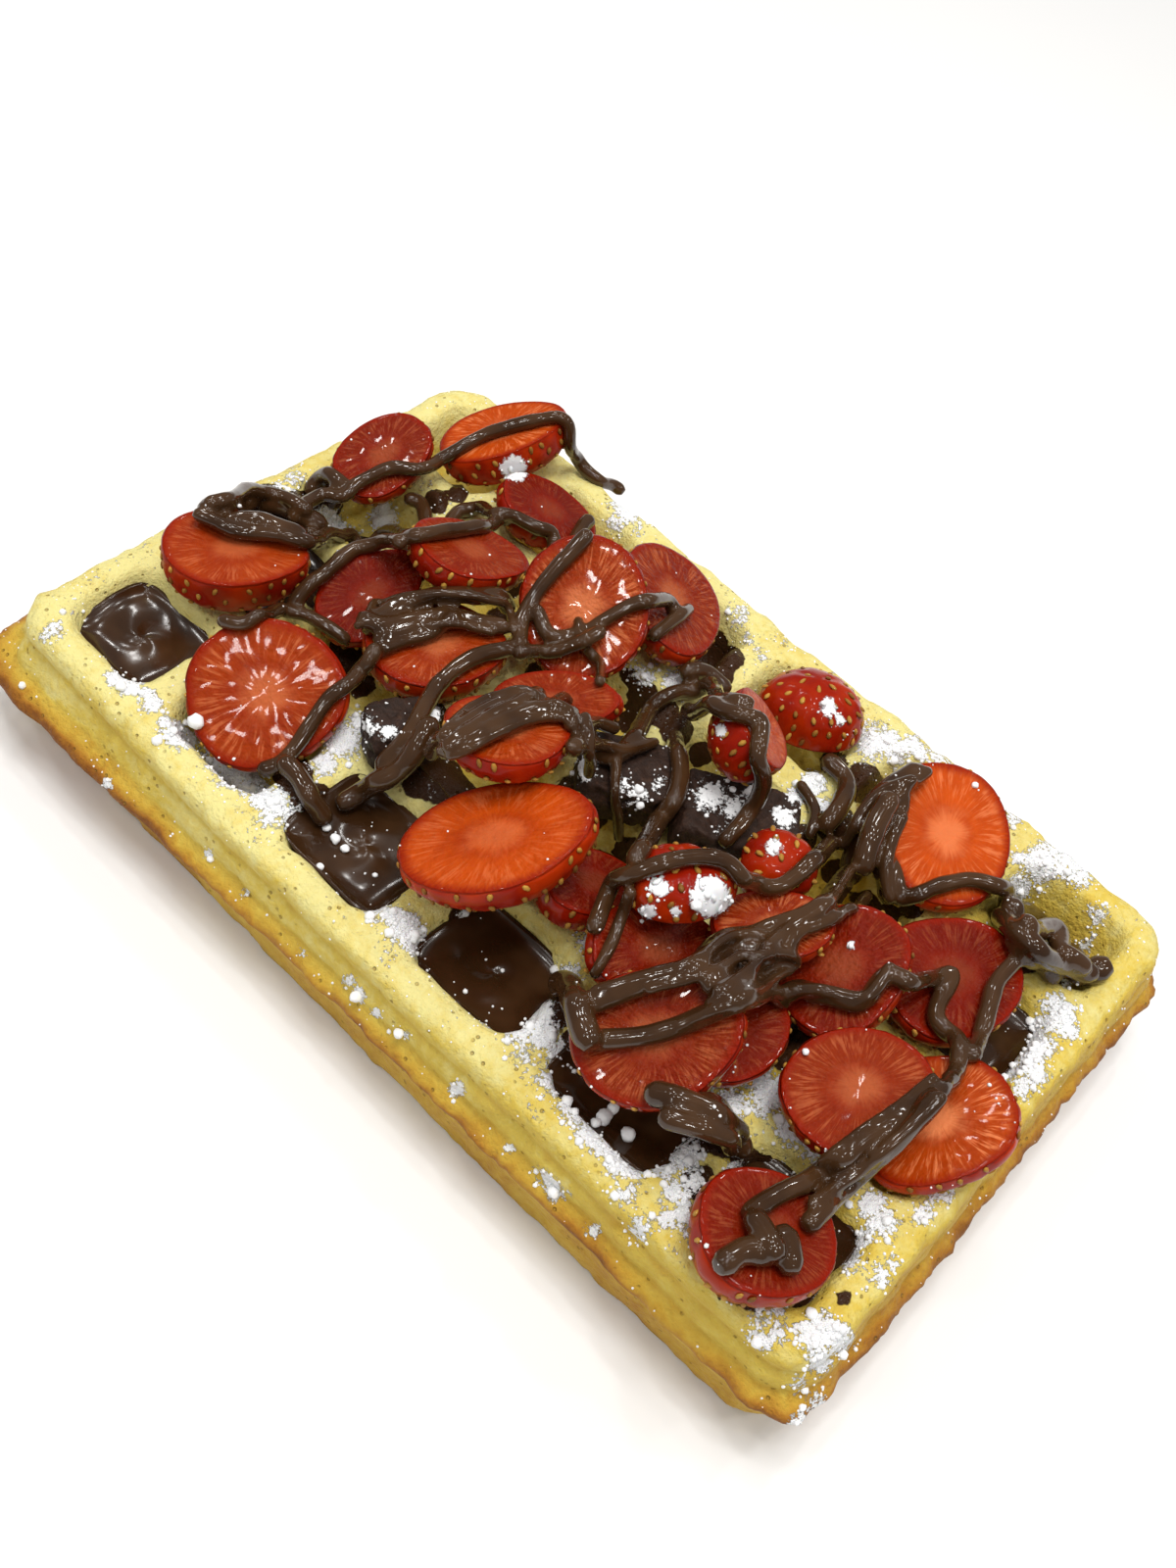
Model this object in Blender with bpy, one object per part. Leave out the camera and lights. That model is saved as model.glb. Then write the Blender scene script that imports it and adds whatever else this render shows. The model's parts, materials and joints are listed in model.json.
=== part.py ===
"""Belgian waffle with sliced strawberries, chocolate and cake pieces.

One thick waffle baked in a six by four iron carries everything else. Chocolate lies in some of its
pockets, cut cake and strawberry pieces lie over them, and ropes of chocolate run over the fruit.
Lengths are in metres. X runs along the waffle, Y across it, Z up, and the origin is in the middle
of the underside.

Each fruit and each rope is traced in the picture plane of one viewpoint and slides down its sight
line until it rests on what lies below it.
"""
import math
import random

import bmesh
import bpy
import numpy as np
from mathutils import Matrix, Vector
from mathutils.bvhtree import BVHTree

MM = 0.001
GAP = 0.30 * MM

# Waffle
PITCH_X = 27.0 * MM
PITCH_Y = 24.4 * MM
POCKETS_X = 6
POCKETS_Y = 4
THICKNESS = 26.0 * MM
POCKET_DEPTH = 10.2 * MM
UNDER_DEPTH = 9.4 * MM
SEAM_HEIGHT = 12.6 * MM
SEAM_LAP = 0.5 * MM
LONG_SIDE_BOW = 1.1 * MM
FLANGE_LONG = 2.3 * MM
FLANGE_END = 4.0 * MM
# The seam runs out further at the corner where the batter was overfilled
FLARE = 3.6 * MM
FLARE_REACH = 42.0 * MM
# Half widths of the walls above, with how far each line lies under the wall's top
WALL_LINES = ((2.3, 0.3), (3.6, 2.2), (6.0, 10.2))
RIM_LINES = ((3.4, 0.3), (4.8, 2.4), (6.9, 10.2))
# The same for the walls of the underside
UNDER_WALL_LINES = ((3.6, 0.0), (6.2, 9.4))
UNDER_RIM_LINES = ((4.4, 0.0), (6.9, 9.4))

# Viewpoint of the tracing: its place, its right, down and ahead directions, and its picture plane
EYE = Vector((74.9 * MM, -137.3 * MM, 215.9 * MM))
RIGHT = Vector((0.7194, 0.6681, 0.1899))
DOWN = Vector((0.6243, -0.5021, -0.5985))
AHEAD = Vector((-0.3045, 0.5491, -0.7783))
FOCAL = 1586.0
MIDDLE_U = 600.0
MIDDLE_V = 800.0

# Height field that the pieces are laid on
CELL = 0.5 * MM
FIELD_X = 120.0 * MM
FIELD_Y = 100.0 * MM
EMPTY = -0.05
MOST_LEAN = math.radians(26)
MOST_HEIGHT = 16.0 * MM

# Chocolate pools: pocket along X, pocket across Y, level under the wall tops in mm, dome in mm
POOLS = (
    (0, 0, 3.8, 0.5), (0, 1, 2.6, 0.8), (2, 0, 2.4, 0.9), (3, 0, 4.2, 0.4),
    (4, 0, 1.8, 0.8), (5, 0, 3.8, 0.6), (4, 1, 3.6, 0.6), (5, 2, 4.6, 0.4),
)

# Cake pieces: middle in the picture, length, width and height in mm, heading and lean in degrees
CAKES = (
    ("cake_1", 636, 794, 15, 12, 8, 34, 3),
    ("cake_2", 750, 842, 19, 13, 8, 30, -3),
    ("cake_3", 408, 748, 11, 9, 8, 62, 6),
)

# Strawberry pieces, in the order they are laid. Middle of the cut face in the picture, length,
# width and thickness in mm, heading, then how far the cut face leans and towards which heading,
# how much narrower one end is, and whether the skin is on top.
BERRIES = (
    ("strawberry_01", 786, 1256, 20, 18, 8, 50, 14, -50, 0.08, False),
    ("strawberry_02", 974, 994, 24, 20, 6, 64, 10, -40, 0.10, False),
    ("strawberry_03", 858, 985, 22, 19, 7, 80, 14, -45, 0.12, False),
    ("strawberry_04", 956, 1140, 23, 20, 6, 52, 8, -40, 0.08, False),
    ("strawberry_05", 876, 1110, 21, 18, 6, 62, 14, -55, 0.10, False),
    ("strawberry_08", 606, 898, 18, 14, 7, 62, 16, -50, 0.10, False),
    ("strawberry_10", 672, 968, 21, 14, 6, 52, 6, -50, 0.10, False),
    ("strawberry_06", 742, 1050, 20, 15, 5, 66, 12, -45, 0.10, False),
    ("strawberry_07", 670, 1056, 23, 19, 6, 52, 15, -50, 0.06, False),
    ("strawberry_09", 790, 944, 18, 12, 5, 50, 4, -40, 0.08, False),
    ("strawberry_11", 694, 914, 16, 13, 7, 50, 12, -50, 0.15, True),
    ("strawberry_12", 792, 886, 12, 11, 6, 40, 6, -40, 0.10, True),
    ("strawberry_13", 966, 850, 26, 22, 6, -54, 18, -50, 0.08, False),
    ("strawberry_14", 826, 738, 18, 17, 9, 0, 12, -60, 0.10, True),
    ("strawberry_16", 562, 722, 21, 11, 6, 38, 20, -50, 0.10, False),
    ("strawberry_17", 688, 610, 25, 20, 7, -52, 18, -50, 0.06, False),
    ("strawberry_18", 596, 620, 25, 21, 7, -52, 14, -50, 0.06, False),
    ("strawberry_19", 562, 517, 20, 15, 6, 50, 6, -50, 0.08, False),
    ("strawberry_20", 505, 854, 28, 20, 8, 50, 11, -50, 0.05, False),
    ("strawberry_21", 515, 766, 19, 17, 6, 60, 16, -50, 0.12, False),
    ("strawberry_22", 270, 708, 25, 23, 7, 50, 25, -50, 0.05, False),
    ("strawberry_23", 378, 604, 20, 14, 7, 88, 14, -55, 0.08, False),
    ("strawberry_24", 445, 654, 23, 18, 8, 48, 9, -55, 0.08, False),
    ("strawberry_25", 482, 564, 21, 16, 7, 68, 9, -60, 0.10, False),
    ("strawberry_26", 240, 560, 23, 16, 11, 42, 8, -50, 0.14, False),
    ("strawberry_27", 392, 462, 20, 14, 7, 90, 5, 115, 0.12, False),
    ("strawberry_28", 512, 438, 24, 16, 9, 57, 9, -50, 0.10, False),
    ("strawberry_15", 772, 762, 18, 13, 9, -60, 78, 28, 0.10, False),
)

# Chocolate ropes, in the order they fall: radius in mm, then the middle line in the picture
ROPES = (
    (2.2, (212, 520), (240, 512), (268, 512), (296, 520), (325, 536)),
    (2.0, (232, 534), (262, 532), (292, 542), (318, 548)),
    (1.8, (318, 500), (338, 490), (352, 500), (340, 516)),
    (1.5, (203, 526), (245, 544), (283, 546), (321, 556), (344, 548), (402, 550), (443, 544), (479, 539),
     (517, 531)),
    (1.6, (417, 521), (470, 521), (504, 523), (530, 530), (552, 541), (580, 540), (600, 532)),
    (1.5, (300, 528), (313, 513), (351, 510), (359, 498), (382, 485), (402, 477), (438, 482), (458, 465),
     (484, 449), (519, 436), (570, 426), (581, 439), (581, 467), (598, 482), (632, 500)),
    (1.5, (407, 558), (367, 559), (344, 574), (325, 593), (306, 613), (298, 626)),
    (1.4, (228, 634), (250, 638), (268, 625), (300, 627), (330, 638), (352, 652)),
    (1.8, (377, 640), (400, 622), (430, 614), (466, 612), (500, 620), (515, 634)),
    (1.8, (372, 632), (392, 640), (420, 634), (452, 630), (486, 634), (512, 640)),
    (1.4, (380, 668), (410, 655), (440, 648), (462, 630)),
    (1.6, (382, 664), (368, 690), (338, 710), (318, 738), (302, 762), (284, 782), (270, 786)),
    (1.9, (292, 780), (306, 796), (318, 818), (330, 834)),
    (1.7, (526, 662), (486, 670), (454, 692), (434, 720), (415, 756), (390, 784)),
    (2.1, (438, 742), (424, 768), (412, 790), (384, 806), (352, 818)),
    (1.6, (549, 709), (514, 717), (482, 735), (453, 757), (440, 770)),
    (1.6, (583, 728), (549, 725), (514, 743), (478, 760), (452, 772)),
    (1.6, (598, 547), (585, 562), (566, 582), (546, 608), (532, 634), (530, 660)),
    (1.6, (549, 624), (560, 651), (598, 645), (625, 628), (656, 614), (684, 620), (690, 632)),
    (1.5, (668, 648), (684, 636), (702, 622)),
    (1.1, (590, 634), (594, 660), (610, 676), (612, 696)),
    (1.5, (530, 666), (560, 668), (591, 658), (612, 646)),
    (2.0, (700, 688), (720, 690), (738, 702)),
    (1.7, (762, 718), (726, 712), (690, 708), (667, 720), (652, 746), (629, 772), (584, 768)),
    (1.3, (582, 740), (604, 742), (625, 748)),
    (1.1, (629, 770), (627, 800), (626, 832), (629, 862)),
    (1.8, (689, 752), (694, 782), (690, 812), (667, 848), (648, 876)),
    (1.7, (702, 727), (740, 728), (774, 738), (772, 776), (776, 806), (762, 834), (740, 858)),
    (1.2, (817, 802), (832, 828), (826, 852)),
    (1.9, (846, 778), (864, 800), (853, 830), (842, 842)),
    (1.6, (607, 946), (624, 906), (652, 890), (700, 876), (741, 879), (764, 904), (799, 904), (825, 882),
     (848, 862)),
    (2.4, (934, 790), (914, 802), (894, 818), (878, 852), (868, 886)),
    (2.1, (918, 812), (914, 836), (898, 858), (894, 890), (904, 918)),
    (2.1, (868, 894), (846, 918), (826, 936), (788, 954), (742, 960), (712, 986), (648, 1006), (604, 1024)),
    (1.7, (884, 846), (912, 890), (918, 922), (952, 906), (990, 898), (1018, 908), (1026, 936)),
    (2.6, (1030, 930), (1052, 944), (1074, 962), (1092, 984), (1106, 994), (1123, 988)),
    (1.6, (1040, 976), (1016, 1004), (1006, 1040), (992, 1076)),
    (1.9, (764, 968), (732, 996), (724, 1008), (748, 1012), (776, 990), (806, 962)),
    (1.7, (604, 1062), (665, 1056), (722, 1036), (764, 1020), (800, 1020)),
    (2.4, (572, 1004), (586, 1020), (592, 1044), (600, 1060)),
    (1.1, (642, 914), (624, 962), (606, 996)),
    (1.7, (806, 1012), (840, 1016), (879, 1024), (906, 994), (936, 1008), (971, 994), (954, 1036),
     (978, 1072), (964, 1110), (914, 1144), (884, 1162), (838, 1198), (796, 1218), (766, 1236)),
    (1.7, (954, 1122), (906, 1174), (856, 1219), (826, 1248)),
    (2.2, (740, 1288), (760, 1276), (784, 1278), (800, 1262), (806, 1288)),
    (1.9, (770, 1246), (782, 1262), (790, 1276)),
    (2.3, (690, 1136), (716, 1138), (738, 1150), (756, 1170)),
)
ROPE_STEP = 5.0 * MM
ROPE_SINK = 1.3

VIEW_WAFFLE = (0.78, 0.60, 0.22, 1.0)
VIEW_BERRY = (0.62, 0.05, 0.02, 1.0)
VIEW_CHOCOLATE = (0.075, 0.030, 0.016, 1.0)
VIEW_CAKE = (0.045, 0.020, 0.012, 1.0)


def clear_scene():
    for obj in list(bpy.data.objects):
        bpy.data.objects.remove(obj, do_unlink=True)


def make_collection(name):
    coll = bpy.data.collections.new(name)
    bpy.context.scene.collection.children.link(coll)
    return coll


def make_material(name, colour, roughness):
    mat = bpy.data.materials.new(name)
    mat.use_nodes = True
    shader = mat.node_tree.nodes["Principled BSDF"]
    shader.inputs["Base Color"].default_value = colour
    shader.inputs["Roughness"].default_value = roughness
    return mat


def add_object(name, mesh, coll, mat):
    obj = bpy.data.objects.new(name, mesh)
    coll.objects.link(obj)
    mesh.materials.clear()
    mesh.materials.append(mat)
    return obj


def mesh_from(bm, name):
    bmesh.ops.recalc_face_normals(bm, faces=bm.faces)
    mesh = bpy.data.meshes.new(name)
    bm.to_mesh(mesh)
    bm.free()
    return mesh


def bake_modifiers(obj):
    """Keep the evaluated shape and drop the modifiers that made it."""
    bpy.context.view_layer.update()
    graph = bpy.context.evaluated_depsgraph_get()
    mesh = bpy.data.meshes.new_from_object(obj.evaluated_get(graph))
    obj.modifiers.clear()
    obj.data = mesh


def uneven(x, y):
    """Slow waves, about one millimetre high in all, that keep the waffle from being regular."""
    return (
        0.45 * math.sin(41.0 * x + 23.0 * y + 0.6)
        + 0.35 * math.sin(-67.0 * x + 52.0 * y + 2.1)
        + 0.20 * math.sin(118.0 * x + 97.0 * y)
    )


def settle(co):
    """Move a point of the regular waffle to its place on the baked one."""
    x, y, z = co
    half_x = POCKETS_X * PITCH_X / 2
    half_y = POCKETS_Y * PITCH_Y / 2
    up = z / THICKNESS
    near = max(0.0, -y / half_y)
    bow = LONG_SIDE_BOW * near * (1.0 - (x / half_x) ** 2)
    lift = 0.5 * MM * uneven(x, y) * max(0.0, up * 2 - 1)
    corner = math.hypot(x + half_x, y + half_y) / FLARE_REACH
    seam = max(0.0, 1.0 - abs(z - SEAM_HEIGHT) / (7 * MM))
    flare = FLARE * seam * math.exp(-corner * corner)
    if x < -half_x - 1.4 * MM:
        x -= flare
    if y < -half_y - 0.8 * MM:
        y -= flare
    return Vector((
        x + 0.45 * MM * uneven(y * 1.6, x) * up,
        y - bow + 0.45 * MM * uneven(x + 0.03, y * 1.3) * up,
        z + lift,
    ))


def grid_lines(count, pitch, wall_lines, rim_lines, outer):
    """Lines across one direction with the depth under the wall tops at each."""
    half = count * pitch / 2
    rows = [(-half - outer, 0.5 * MM)]
    for wall in range(count + 1):
        mid = -half + wall * pitch
        lines = rim_lines if wall in (0, count) else wall_lines
        if wall > 0:
            rows += [(mid - w * MM, d * MM) for w, d in reversed(lines)]
        if wall < count:
            rows += [(mid + w * MM, d * MM) for w, d in lines]
    rows.append((half + outer, 0.5 * MM))
    return rows


def slab(name, wall_lines, rim_lines, outer, top, sign, rings, closing):
    """One half of the waffle: a pocketed face, the rings of its side and a flat closing face."""
    rows_x = grid_lines(POCKETS_X, PITCH_X, wall_lines, rim_lines, outer)
    rows_y = grid_lines(POCKETS_Y, PITCH_Y, wall_lines, rim_lines, outer)
    nx, ny = len(rows_x) - 1, len(rows_y) - 1
    bm = bmesh.new()
    bmesh.ops.create_grid(bm, x_segments=nx, y_segments=ny, size=1.0)
    for vert in bm.verts:
        i = round((vert.co.x + 1) / 2 * nx)
        j = round((vert.co.y + 1) / 2 * ny)
        x, depth_x = rows_x[i]
        y, depth_y = rows_y[j]
        depth = min(depth_x, depth_y)
        if sign < 0 and (i in (0, nx) or j in (0, ny)):
            depth = 0.8 * MM
        vert.co = (x, y, top - sign * depth)
    edge = [e for e in bm.edges if e.is_boundary]
    half_x = POCKETS_X * PITCH_X / 2
    half_y = POCKETS_Y * PITCH_Y / 2
    for out_x, out_y, height in rings:
        grown = bmesh.ops.extrude_edge_only(bm, edges=edge)["geom"]
        for vert in [g for g in grown if isinstance(g, bmesh.types.BMVert)]:
            x, y, _ = vert.co
            # The ring follows the outline at a new distance, round at the corners
            if abs(x) > half_x:
                x = math.copysign(half_x + out_x, x)
            if abs(y) > half_y:
                y = math.copysign(half_y + out_y, y)
            if abs(x) > half_x and abs(y) > half_y:
                x -= math.copysign(0.42 * out_x, x)
                y -= math.copysign(0.42 * out_y, y)
            vert.co = (x, y, height)
        edge = [g for g in grown if isinstance(g, bmesh.types.BMEdge)]
    bmesh.ops.edgeloop_fill(bm, edges=edge)
    for vert in bm.verts:
        vert.co = settle(vert.co)
        if closing is not None and abs(vert.co.z - closing) < 0.2 * MM:
            vert.co.z = closing
    bmesh.ops.triangulate(bm, faces=[f for f in bm.faces if len(f.verts) > 4])
    return mesh_from(bm, name)


def make_waffle(coll, tools, mat):
    top = THICKNESS
    seam = SEAM_HEIGHT
    upper_rings = (
        (1.7 * MM, 1.5 * MM, top - 2.4 * MM),
        (2.5 * MM, 1.7 * MM, top - 7.5 * MM),
        (FLANGE_END, FLANGE_LONG, seam + 2.0 * MM),
        (FLANGE_END, FLANGE_LONG, seam),
    )
    lower_rings = (
        (2.2 * MM, 1.2 * MM, 3.4 * MM),
        (FLANGE_END - 0.6 * MM, FLANGE_LONG - 0.6 * MM, seam - 1.2 * MM),
        (FLANGE_END - 0.8 * MM, FLANGE_LONG - 0.8 * MM, seam + SEAM_LAP),
    )
    upper = slab("waffle", WALL_LINES, RIM_LINES, 0.6 * MM, top, 1, upper_rings, seam)
    lower = slab("waffle_lower", UNDER_WALL_LINES, UNDER_RIM_LINES, 0.2 * MM, 0.0, -1, lower_rings,
                 seam + SEAM_LAP)
    waffle = add_object("waffle", upper, coll, mat)
    cutter = add_object("waffle_lower", lower, tools, mat)
    join = waffle.modifiers.new("join halves", "BOOLEAN")
    join.operation = "UNION"
    join.solver = "EXACT"
    join.object = cutter
    bake_modifiers(waffle)
    bpy.data.objects.remove(cutter, do_unlink=True)
    return waffle


def wall_at(depth, lines):
    """Half width of a wall at a depth under its top, in metres."""
    widths = [w * MM for w, _ in lines]
    depths = [d * MM for _, d in lines]
    return float(np.interp(depth, depths, widths))


def corner_at(depth, lines):
    """How far the slanted corner of a pocket stands out from the wall's middle line."""
    face, foot = lines[1], lines[2]
    middle = (face[0] + foot[0]) / 2
    return float(np.interp(depth, [face[1] * MM, foot[1] * MM], [middle * MM, foot[0] * MM]))


def make_pool(name, col, row, level, dome, coll, mat):
    """Chocolate that fills one pocket up to its level, clear of the walls."""
    x0 = -POCKETS_X * PITCH_X / 2 + col * PITCH_X
    y0 = -POCKETS_Y * PITCH_Y / 2 + row * PITCH_Y
    bm = bmesh.new()
    bmesh.ops.create_cube(bm, size=2.0)
    bmesh.ops.subdivide_edges(bm, edges=bm.edges, cuts=1, use_grid_fill=True)
    for vert in bm.verts:
        sx, sy, sz = vert.co
        depth = level * MM + (1 - sz) / 2 * (POCKET_DEPTH - GAP - level * MM)
        at = corner_at if abs(sx) > 0.5 and abs(sy) > 0.5 else wall_at
        low_x = at(depth, RIM_LINES if col == 0 else WALL_LINES) + 1.6 * GAP
        high_x = at(depth, RIM_LINES if col == POCKETS_X - 1 else WALL_LINES) + 1.6 * GAP
        low_y = at(depth, RIM_LINES if row == 0 else WALL_LINES) + 1.6 * GAP
        high_y = at(depth, RIM_LINES if row == POCKETS_Y - 1 else WALL_LINES) + 1.6 * GAP
        x = x0 + (low_x if sx < -0.5 else PITCH_X - high_x if sx > 0.5 else PITCH_X / 2)
        y = y0 + (low_y if sy < -0.5 else PITCH_Y - high_y if sy > 0.5 else PITCH_Y / 2)
        z = THICKNESS - depth
        if sz > 0.5 and abs(sx) < 0.5 and abs(sy) < 0.5:
            z += dome * MM
        vert.co = settle((x, y, z))
    return add_object(name, mesh_from(bm, name), coll, mat)


def height_maps(obj):
    """Top and bottom of an object over the cells of the field, EMPTY where it isn't."""
    bm = bmesh.new()
    bm.from_mesh(obj.data)
    bm.transform(obj.matrix_world)
    tree = BVHTree.FromBMesh(bm)
    xs = [v.co.x for v in bm.verts]
    ys = [v.co.y for v in bm.verts]
    bm.free()
    i0, i1 = int((min(xs) + FIELD_X) / CELL), int((max(xs) + FIELD_X) / CELL) + 2
    j0, j1 = int((min(ys) + FIELD_Y) / CELL), int((max(ys) + FIELD_Y) / CELL) + 2
    top = np.full((i1 - i0, j1 - j0), EMPTY)
    low = np.full((i1 - i0, j1 - j0), 1.0)
    for i in range(i0, i1):
        for j in range(j0, j1):
            x, y = i * CELL - FIELD_X, j * CELL - FIELD_Y
            hit = tree.ray_cast(Vector((x, y, 0.2)), Vector((0, 0, -1)))[0]
            if hit is None:
                continue
            top[i - i0, j - j0] = hit.z
            low[i - i0, j - j0] = tree.ray_cast(Vector((x, y, -0.2)), Vector((0, 0, 1)))[0].z
    return top, low, i0, j0


def add_to_field(field, obj):
    top, _, i0, j0 = height_maps(obj)
    part = field[i0:i0 + top.shape[0], j0:j0 + top.shape[1]]
    np.maximum(part, top, out=part)


def grown_field(field, radius):
    """Height of the middle of a ball of this radius that rests on the field, for every cell."""
    out = np.full_like(field, EMPTY)
    reach = int(radius / CELL)
    nx, ny = field.shape
    for di in range(-reach, reach + 1):
        for dj in range(-reach, reach + 1):
            flat = math.hypot(di, dj) * CELL
            if flat > radius:
                continue
            rise = math.sqrt(radius * radius - flat * flat)
            a = out[max(0, di):nx + min(0, di), max(0, dj):ny + min(0, dj)]
            b = field[max(0, -di):nx + min(0, -di), max(0, -dj):ny + min(0, -dj)]
            np.maximum(a, b + rise, out=a)
    return out


def sight(u, v):
    """Direction from the viewpoint through a point of the picture, one metre down in height."""
    ray = RIGHT * ((u - MIDDLE_U) / FOCAL) + DOWN * ((v - MIDDLE_V) / FOCAL) + AHEAD
    return ray / -ray.z


def on_sight(u, v, height):
    return EYE + sight(u, v) * (EYE.z - height)


def field_at(field, x, y):
    fx, fy = (x + FIELD_X) / CELL, (y + FIELD_Y) / CELL
    i, j = int(fx), int(fy)
    if i < 0 or j < 0 or i >= field.shape[0] - 1 or j >= field.shape[1] - 1:
        return EMPTY
    a, b = fx - i, fy - j
    return float(
        field[i, j] * (1 - a) * (1 - b) + field[i + 1, j] * a * (1 - b)
        + field[i, j + 1] * (1 - a) * b + field[i + 1, j + 1] * a * b
    )


def lean_matrix(heading, lean, towards):
    """Turn a piece to its heading, then lean its upper face towards a compass direction."""
    turn = Matrix.Rotation(math.radians(heading), 4, "Z")
    axis = Vector((-math.sin(math.radians(towards)), math.cos(math.radians(towards)), 0))
    return Matrix.Rotation(math.radians(lean), 4, axis) @ turn


def resting_normal(field, x, y, reach):
    """Normal of the plane that a flat plate takes when it is put down with its middle at x, y."""
    cells = int(reach / CELL)
    ci, cj = round((x + FIELD_X) / CELL), round((y + FIELD_Y) / CELL)
    bm = bmesh.new()
    for i in range(ci - cells, ci + cells + 1, 2):
        for j in range(cj - cells, cj + cells + 1, 2):
            if math.hypot(i - ci, j - cj) <= cells and field[i, j] > 0:
                bm.verts.new((i * CELL - FIELD_X, j * CELL - FIELD_Y, field[i, j]))
    bm.verts.new((x, y, 0.0))
    bmesh.ops.convex_hull(bm, input=bm.verts)
    bmesh.ops.recalc_face_normals(bm, faces=bm.faces)
    tree = BVHTree.FromBMesh(bm)
    normal = tree.ray_cast(Vector((x, y, 0.2)), Vector((0, 0, -1)))[1]
    bm.free()
    if normal is None:
        return Vector((0, 0, 1))
    if normal.z < 0:
        normal = -normal
    angle = normal.angle(Vector((0, 0, 1)))
    if angle > MOST_LEAN:
        normal = Vector((0, 0, 1)).lerp(normal, MOST_LEAN / angle).normalized()
    return normal


def rest_height(obj, spot, field):
    """Height of the piece's origin at a spot when it is lowered straight down on the field."""
    obj.location = (spot.x, spot.y, 0.1)
    bpy.context.view_layer.update()
    _, low, i0, j0 = height_maps(obj)
    under = field[i0:i0 + low.shape[0], j0:j0 + low.shape[1]]
    return 0.1 + float(np.max(under - low)) + GAP


def lay(obj, u, v, field, reach, own_turn, follow):
    """Lay a piece on the field so that its middle is seen at its place in the picture."""
    height = THICKNESS + 7 * MM
    spread = grown_field(field, 1.01 * CELL)
    for _ in range(4):
        spot = on_sight(u, v, height)
        normal = Vector((0, 0, 1)).lerp(resting_normal(field, spot.x, spot.y, reach), follow).normalized()
        tilt = Vector((0, 0, 1)).rotation_difference(normal).to_matrix().to_4x4()
        obj.rotation_euler = (tilt @ own_turn).to_euler()
        found = rest_height(obj, spot, spread)
        height = 0.4 * height + 0.6 * min(found, THICKNESS + MOST_HEIGHT)
    obj.location = (spot.x, spot.y, found)
    bpy.context.view_layer.update()


def piece_tree(obj):
    bm = bmesh.new()
    bm.from_mesh(obj.data)
    bm.transform(obj.matrix_world)
    tree = BVHTree.FromBMesh(bm, epsilon=GAP)
    bm.free()
    return tree


def clear_of(obj, trees):
    """Raise a piece until it neither touches nor nearly touches what is already laid."""
    for _ in range(60):
        tree = piece_tree(obj)
        if not any(tree.overlap(other) for other in trees):
            break
        obj.location.z += 0.15 * MM
        bpy.context.view_layer.update()
    trees.append(tree)


def berry_mesh(name, length, width, thick, taper, skin_up, seed):
    """A strawberry piece: a cut face, the skin round its edge and the rounded skin behind it."""
    rng = random.Random(seed)
    waves = [(rng.uniform(0, 6.28), rng.uniform(0.010, 0.022)) for _ in range(3)]
    bm = bmesh.new()
    bmesh.ops.create_uvsphere(bm, u_segments=14, v_segments=5, radius=1.0)
    # Radius and height of each ring, from the cut face round to the back
    profile = {0: (0.0, -0.02), 1: (0.56, -0.01), 2: (0.975, 0.0), 3: (0.985, -0.42), 4: (0.64, -0.88), 5: (0.0, -1.0)}
    for vert in bm.verts:
        ring = round(math.acos(max(-1.0, min(1.0, vert.co.z))) / math.pi * 5)
        radius, height = profile[ring]
        angle = math.atan2(vert.co.y, vert.co.x)
        wave = 1 + sum(a * math.sin((k + 2) * angle + p) for k, (p, a) in enumerate(waves))
        c, s = math.cos(angle), math.sin(angle)
        narrow = 1 - taper * c * (1.6 if c > 0 else 1.0)
        vert.co = (
            length / 2 * MM * radius * wave * math.copysign(abs(c) ** 0.92, c),
            width / 2 * MM * radius * wave * narrow * math.copysign(abs(s) ** 0.92, s),
            thick * MM * height,
        )
    if skin_up:
        bmesh.ops.rotate(bm, verts=bm.verts, matrix=Matrix.Rotation(math.pi, 3, "X"))
    return mesh_from(bm, name)


def cake_mesh(name, length, width, height, seed):
    """A cut cube of dark cake with broken corners."""
    rng = random.Random(seed)
    bm = bmesh.new()
    bmesh.ops.create_cube(bm, size=1.0)
    bmesh.ops.subdivide_edges(bm, edges=bm.edges, cuts=1, use_grid_fill=True)
    for vert in bm.verts:
        ends = sum(abs(c) > 0.4 for c in vert.co)
        pull = {1: 1.04, 2: 0.98, 3: 0.90}.get(ends, 1.0)
        vert.co = (
            vert.co.x * length * MM * pull + rng.uniform(-0.5, 0.5) * MM,
            vert.co.y * width * MM * pull + rng.uniform(-0.5, 0.5) * MM,
            vert.co.z * height * MM * pull + rng.uniform(-0.3, 0.3) * MM,
        )
    return mesh_from(bm, name)


def smooth_route(points):
    """Catmull-Rom points through the traced ones, about one millimetre apart."""
    pts = [Vector((float(u), float(v))) for u, v in points]
    pts = [pts[0] * 2 - pts[1]] + pts + [pts[-1] * 2 - pts[-2]]
    out = []
    for k in range(1, len(pts) - 2):
        p0, p1, p2, p3 = pts[k - 1:k + 3]
        steps = max(2, round((p2 - p1).length / 6))
        for n in range(steps):
            t = n / steps
            out.append(0.5 * (
                2 * p1 + (p2 - p0) * t + (2 * p0 - 5 * p1 + 4 * p2 - p3) * t * t
                + (3 * p1 - p0 - 3 * p2 + p3) * t * t * t
            ))
    out.append(pts[-2])
    return out


def blur(values, rounds):
    for _ in range(rounds):
        inner = [(values[k - 1] + 2 * values[k] + values[k + 1]) / 4 for k in range(1, len(values) - 1)]
        values = [values[0]] + inner + [values[-1]]
    return values


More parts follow.
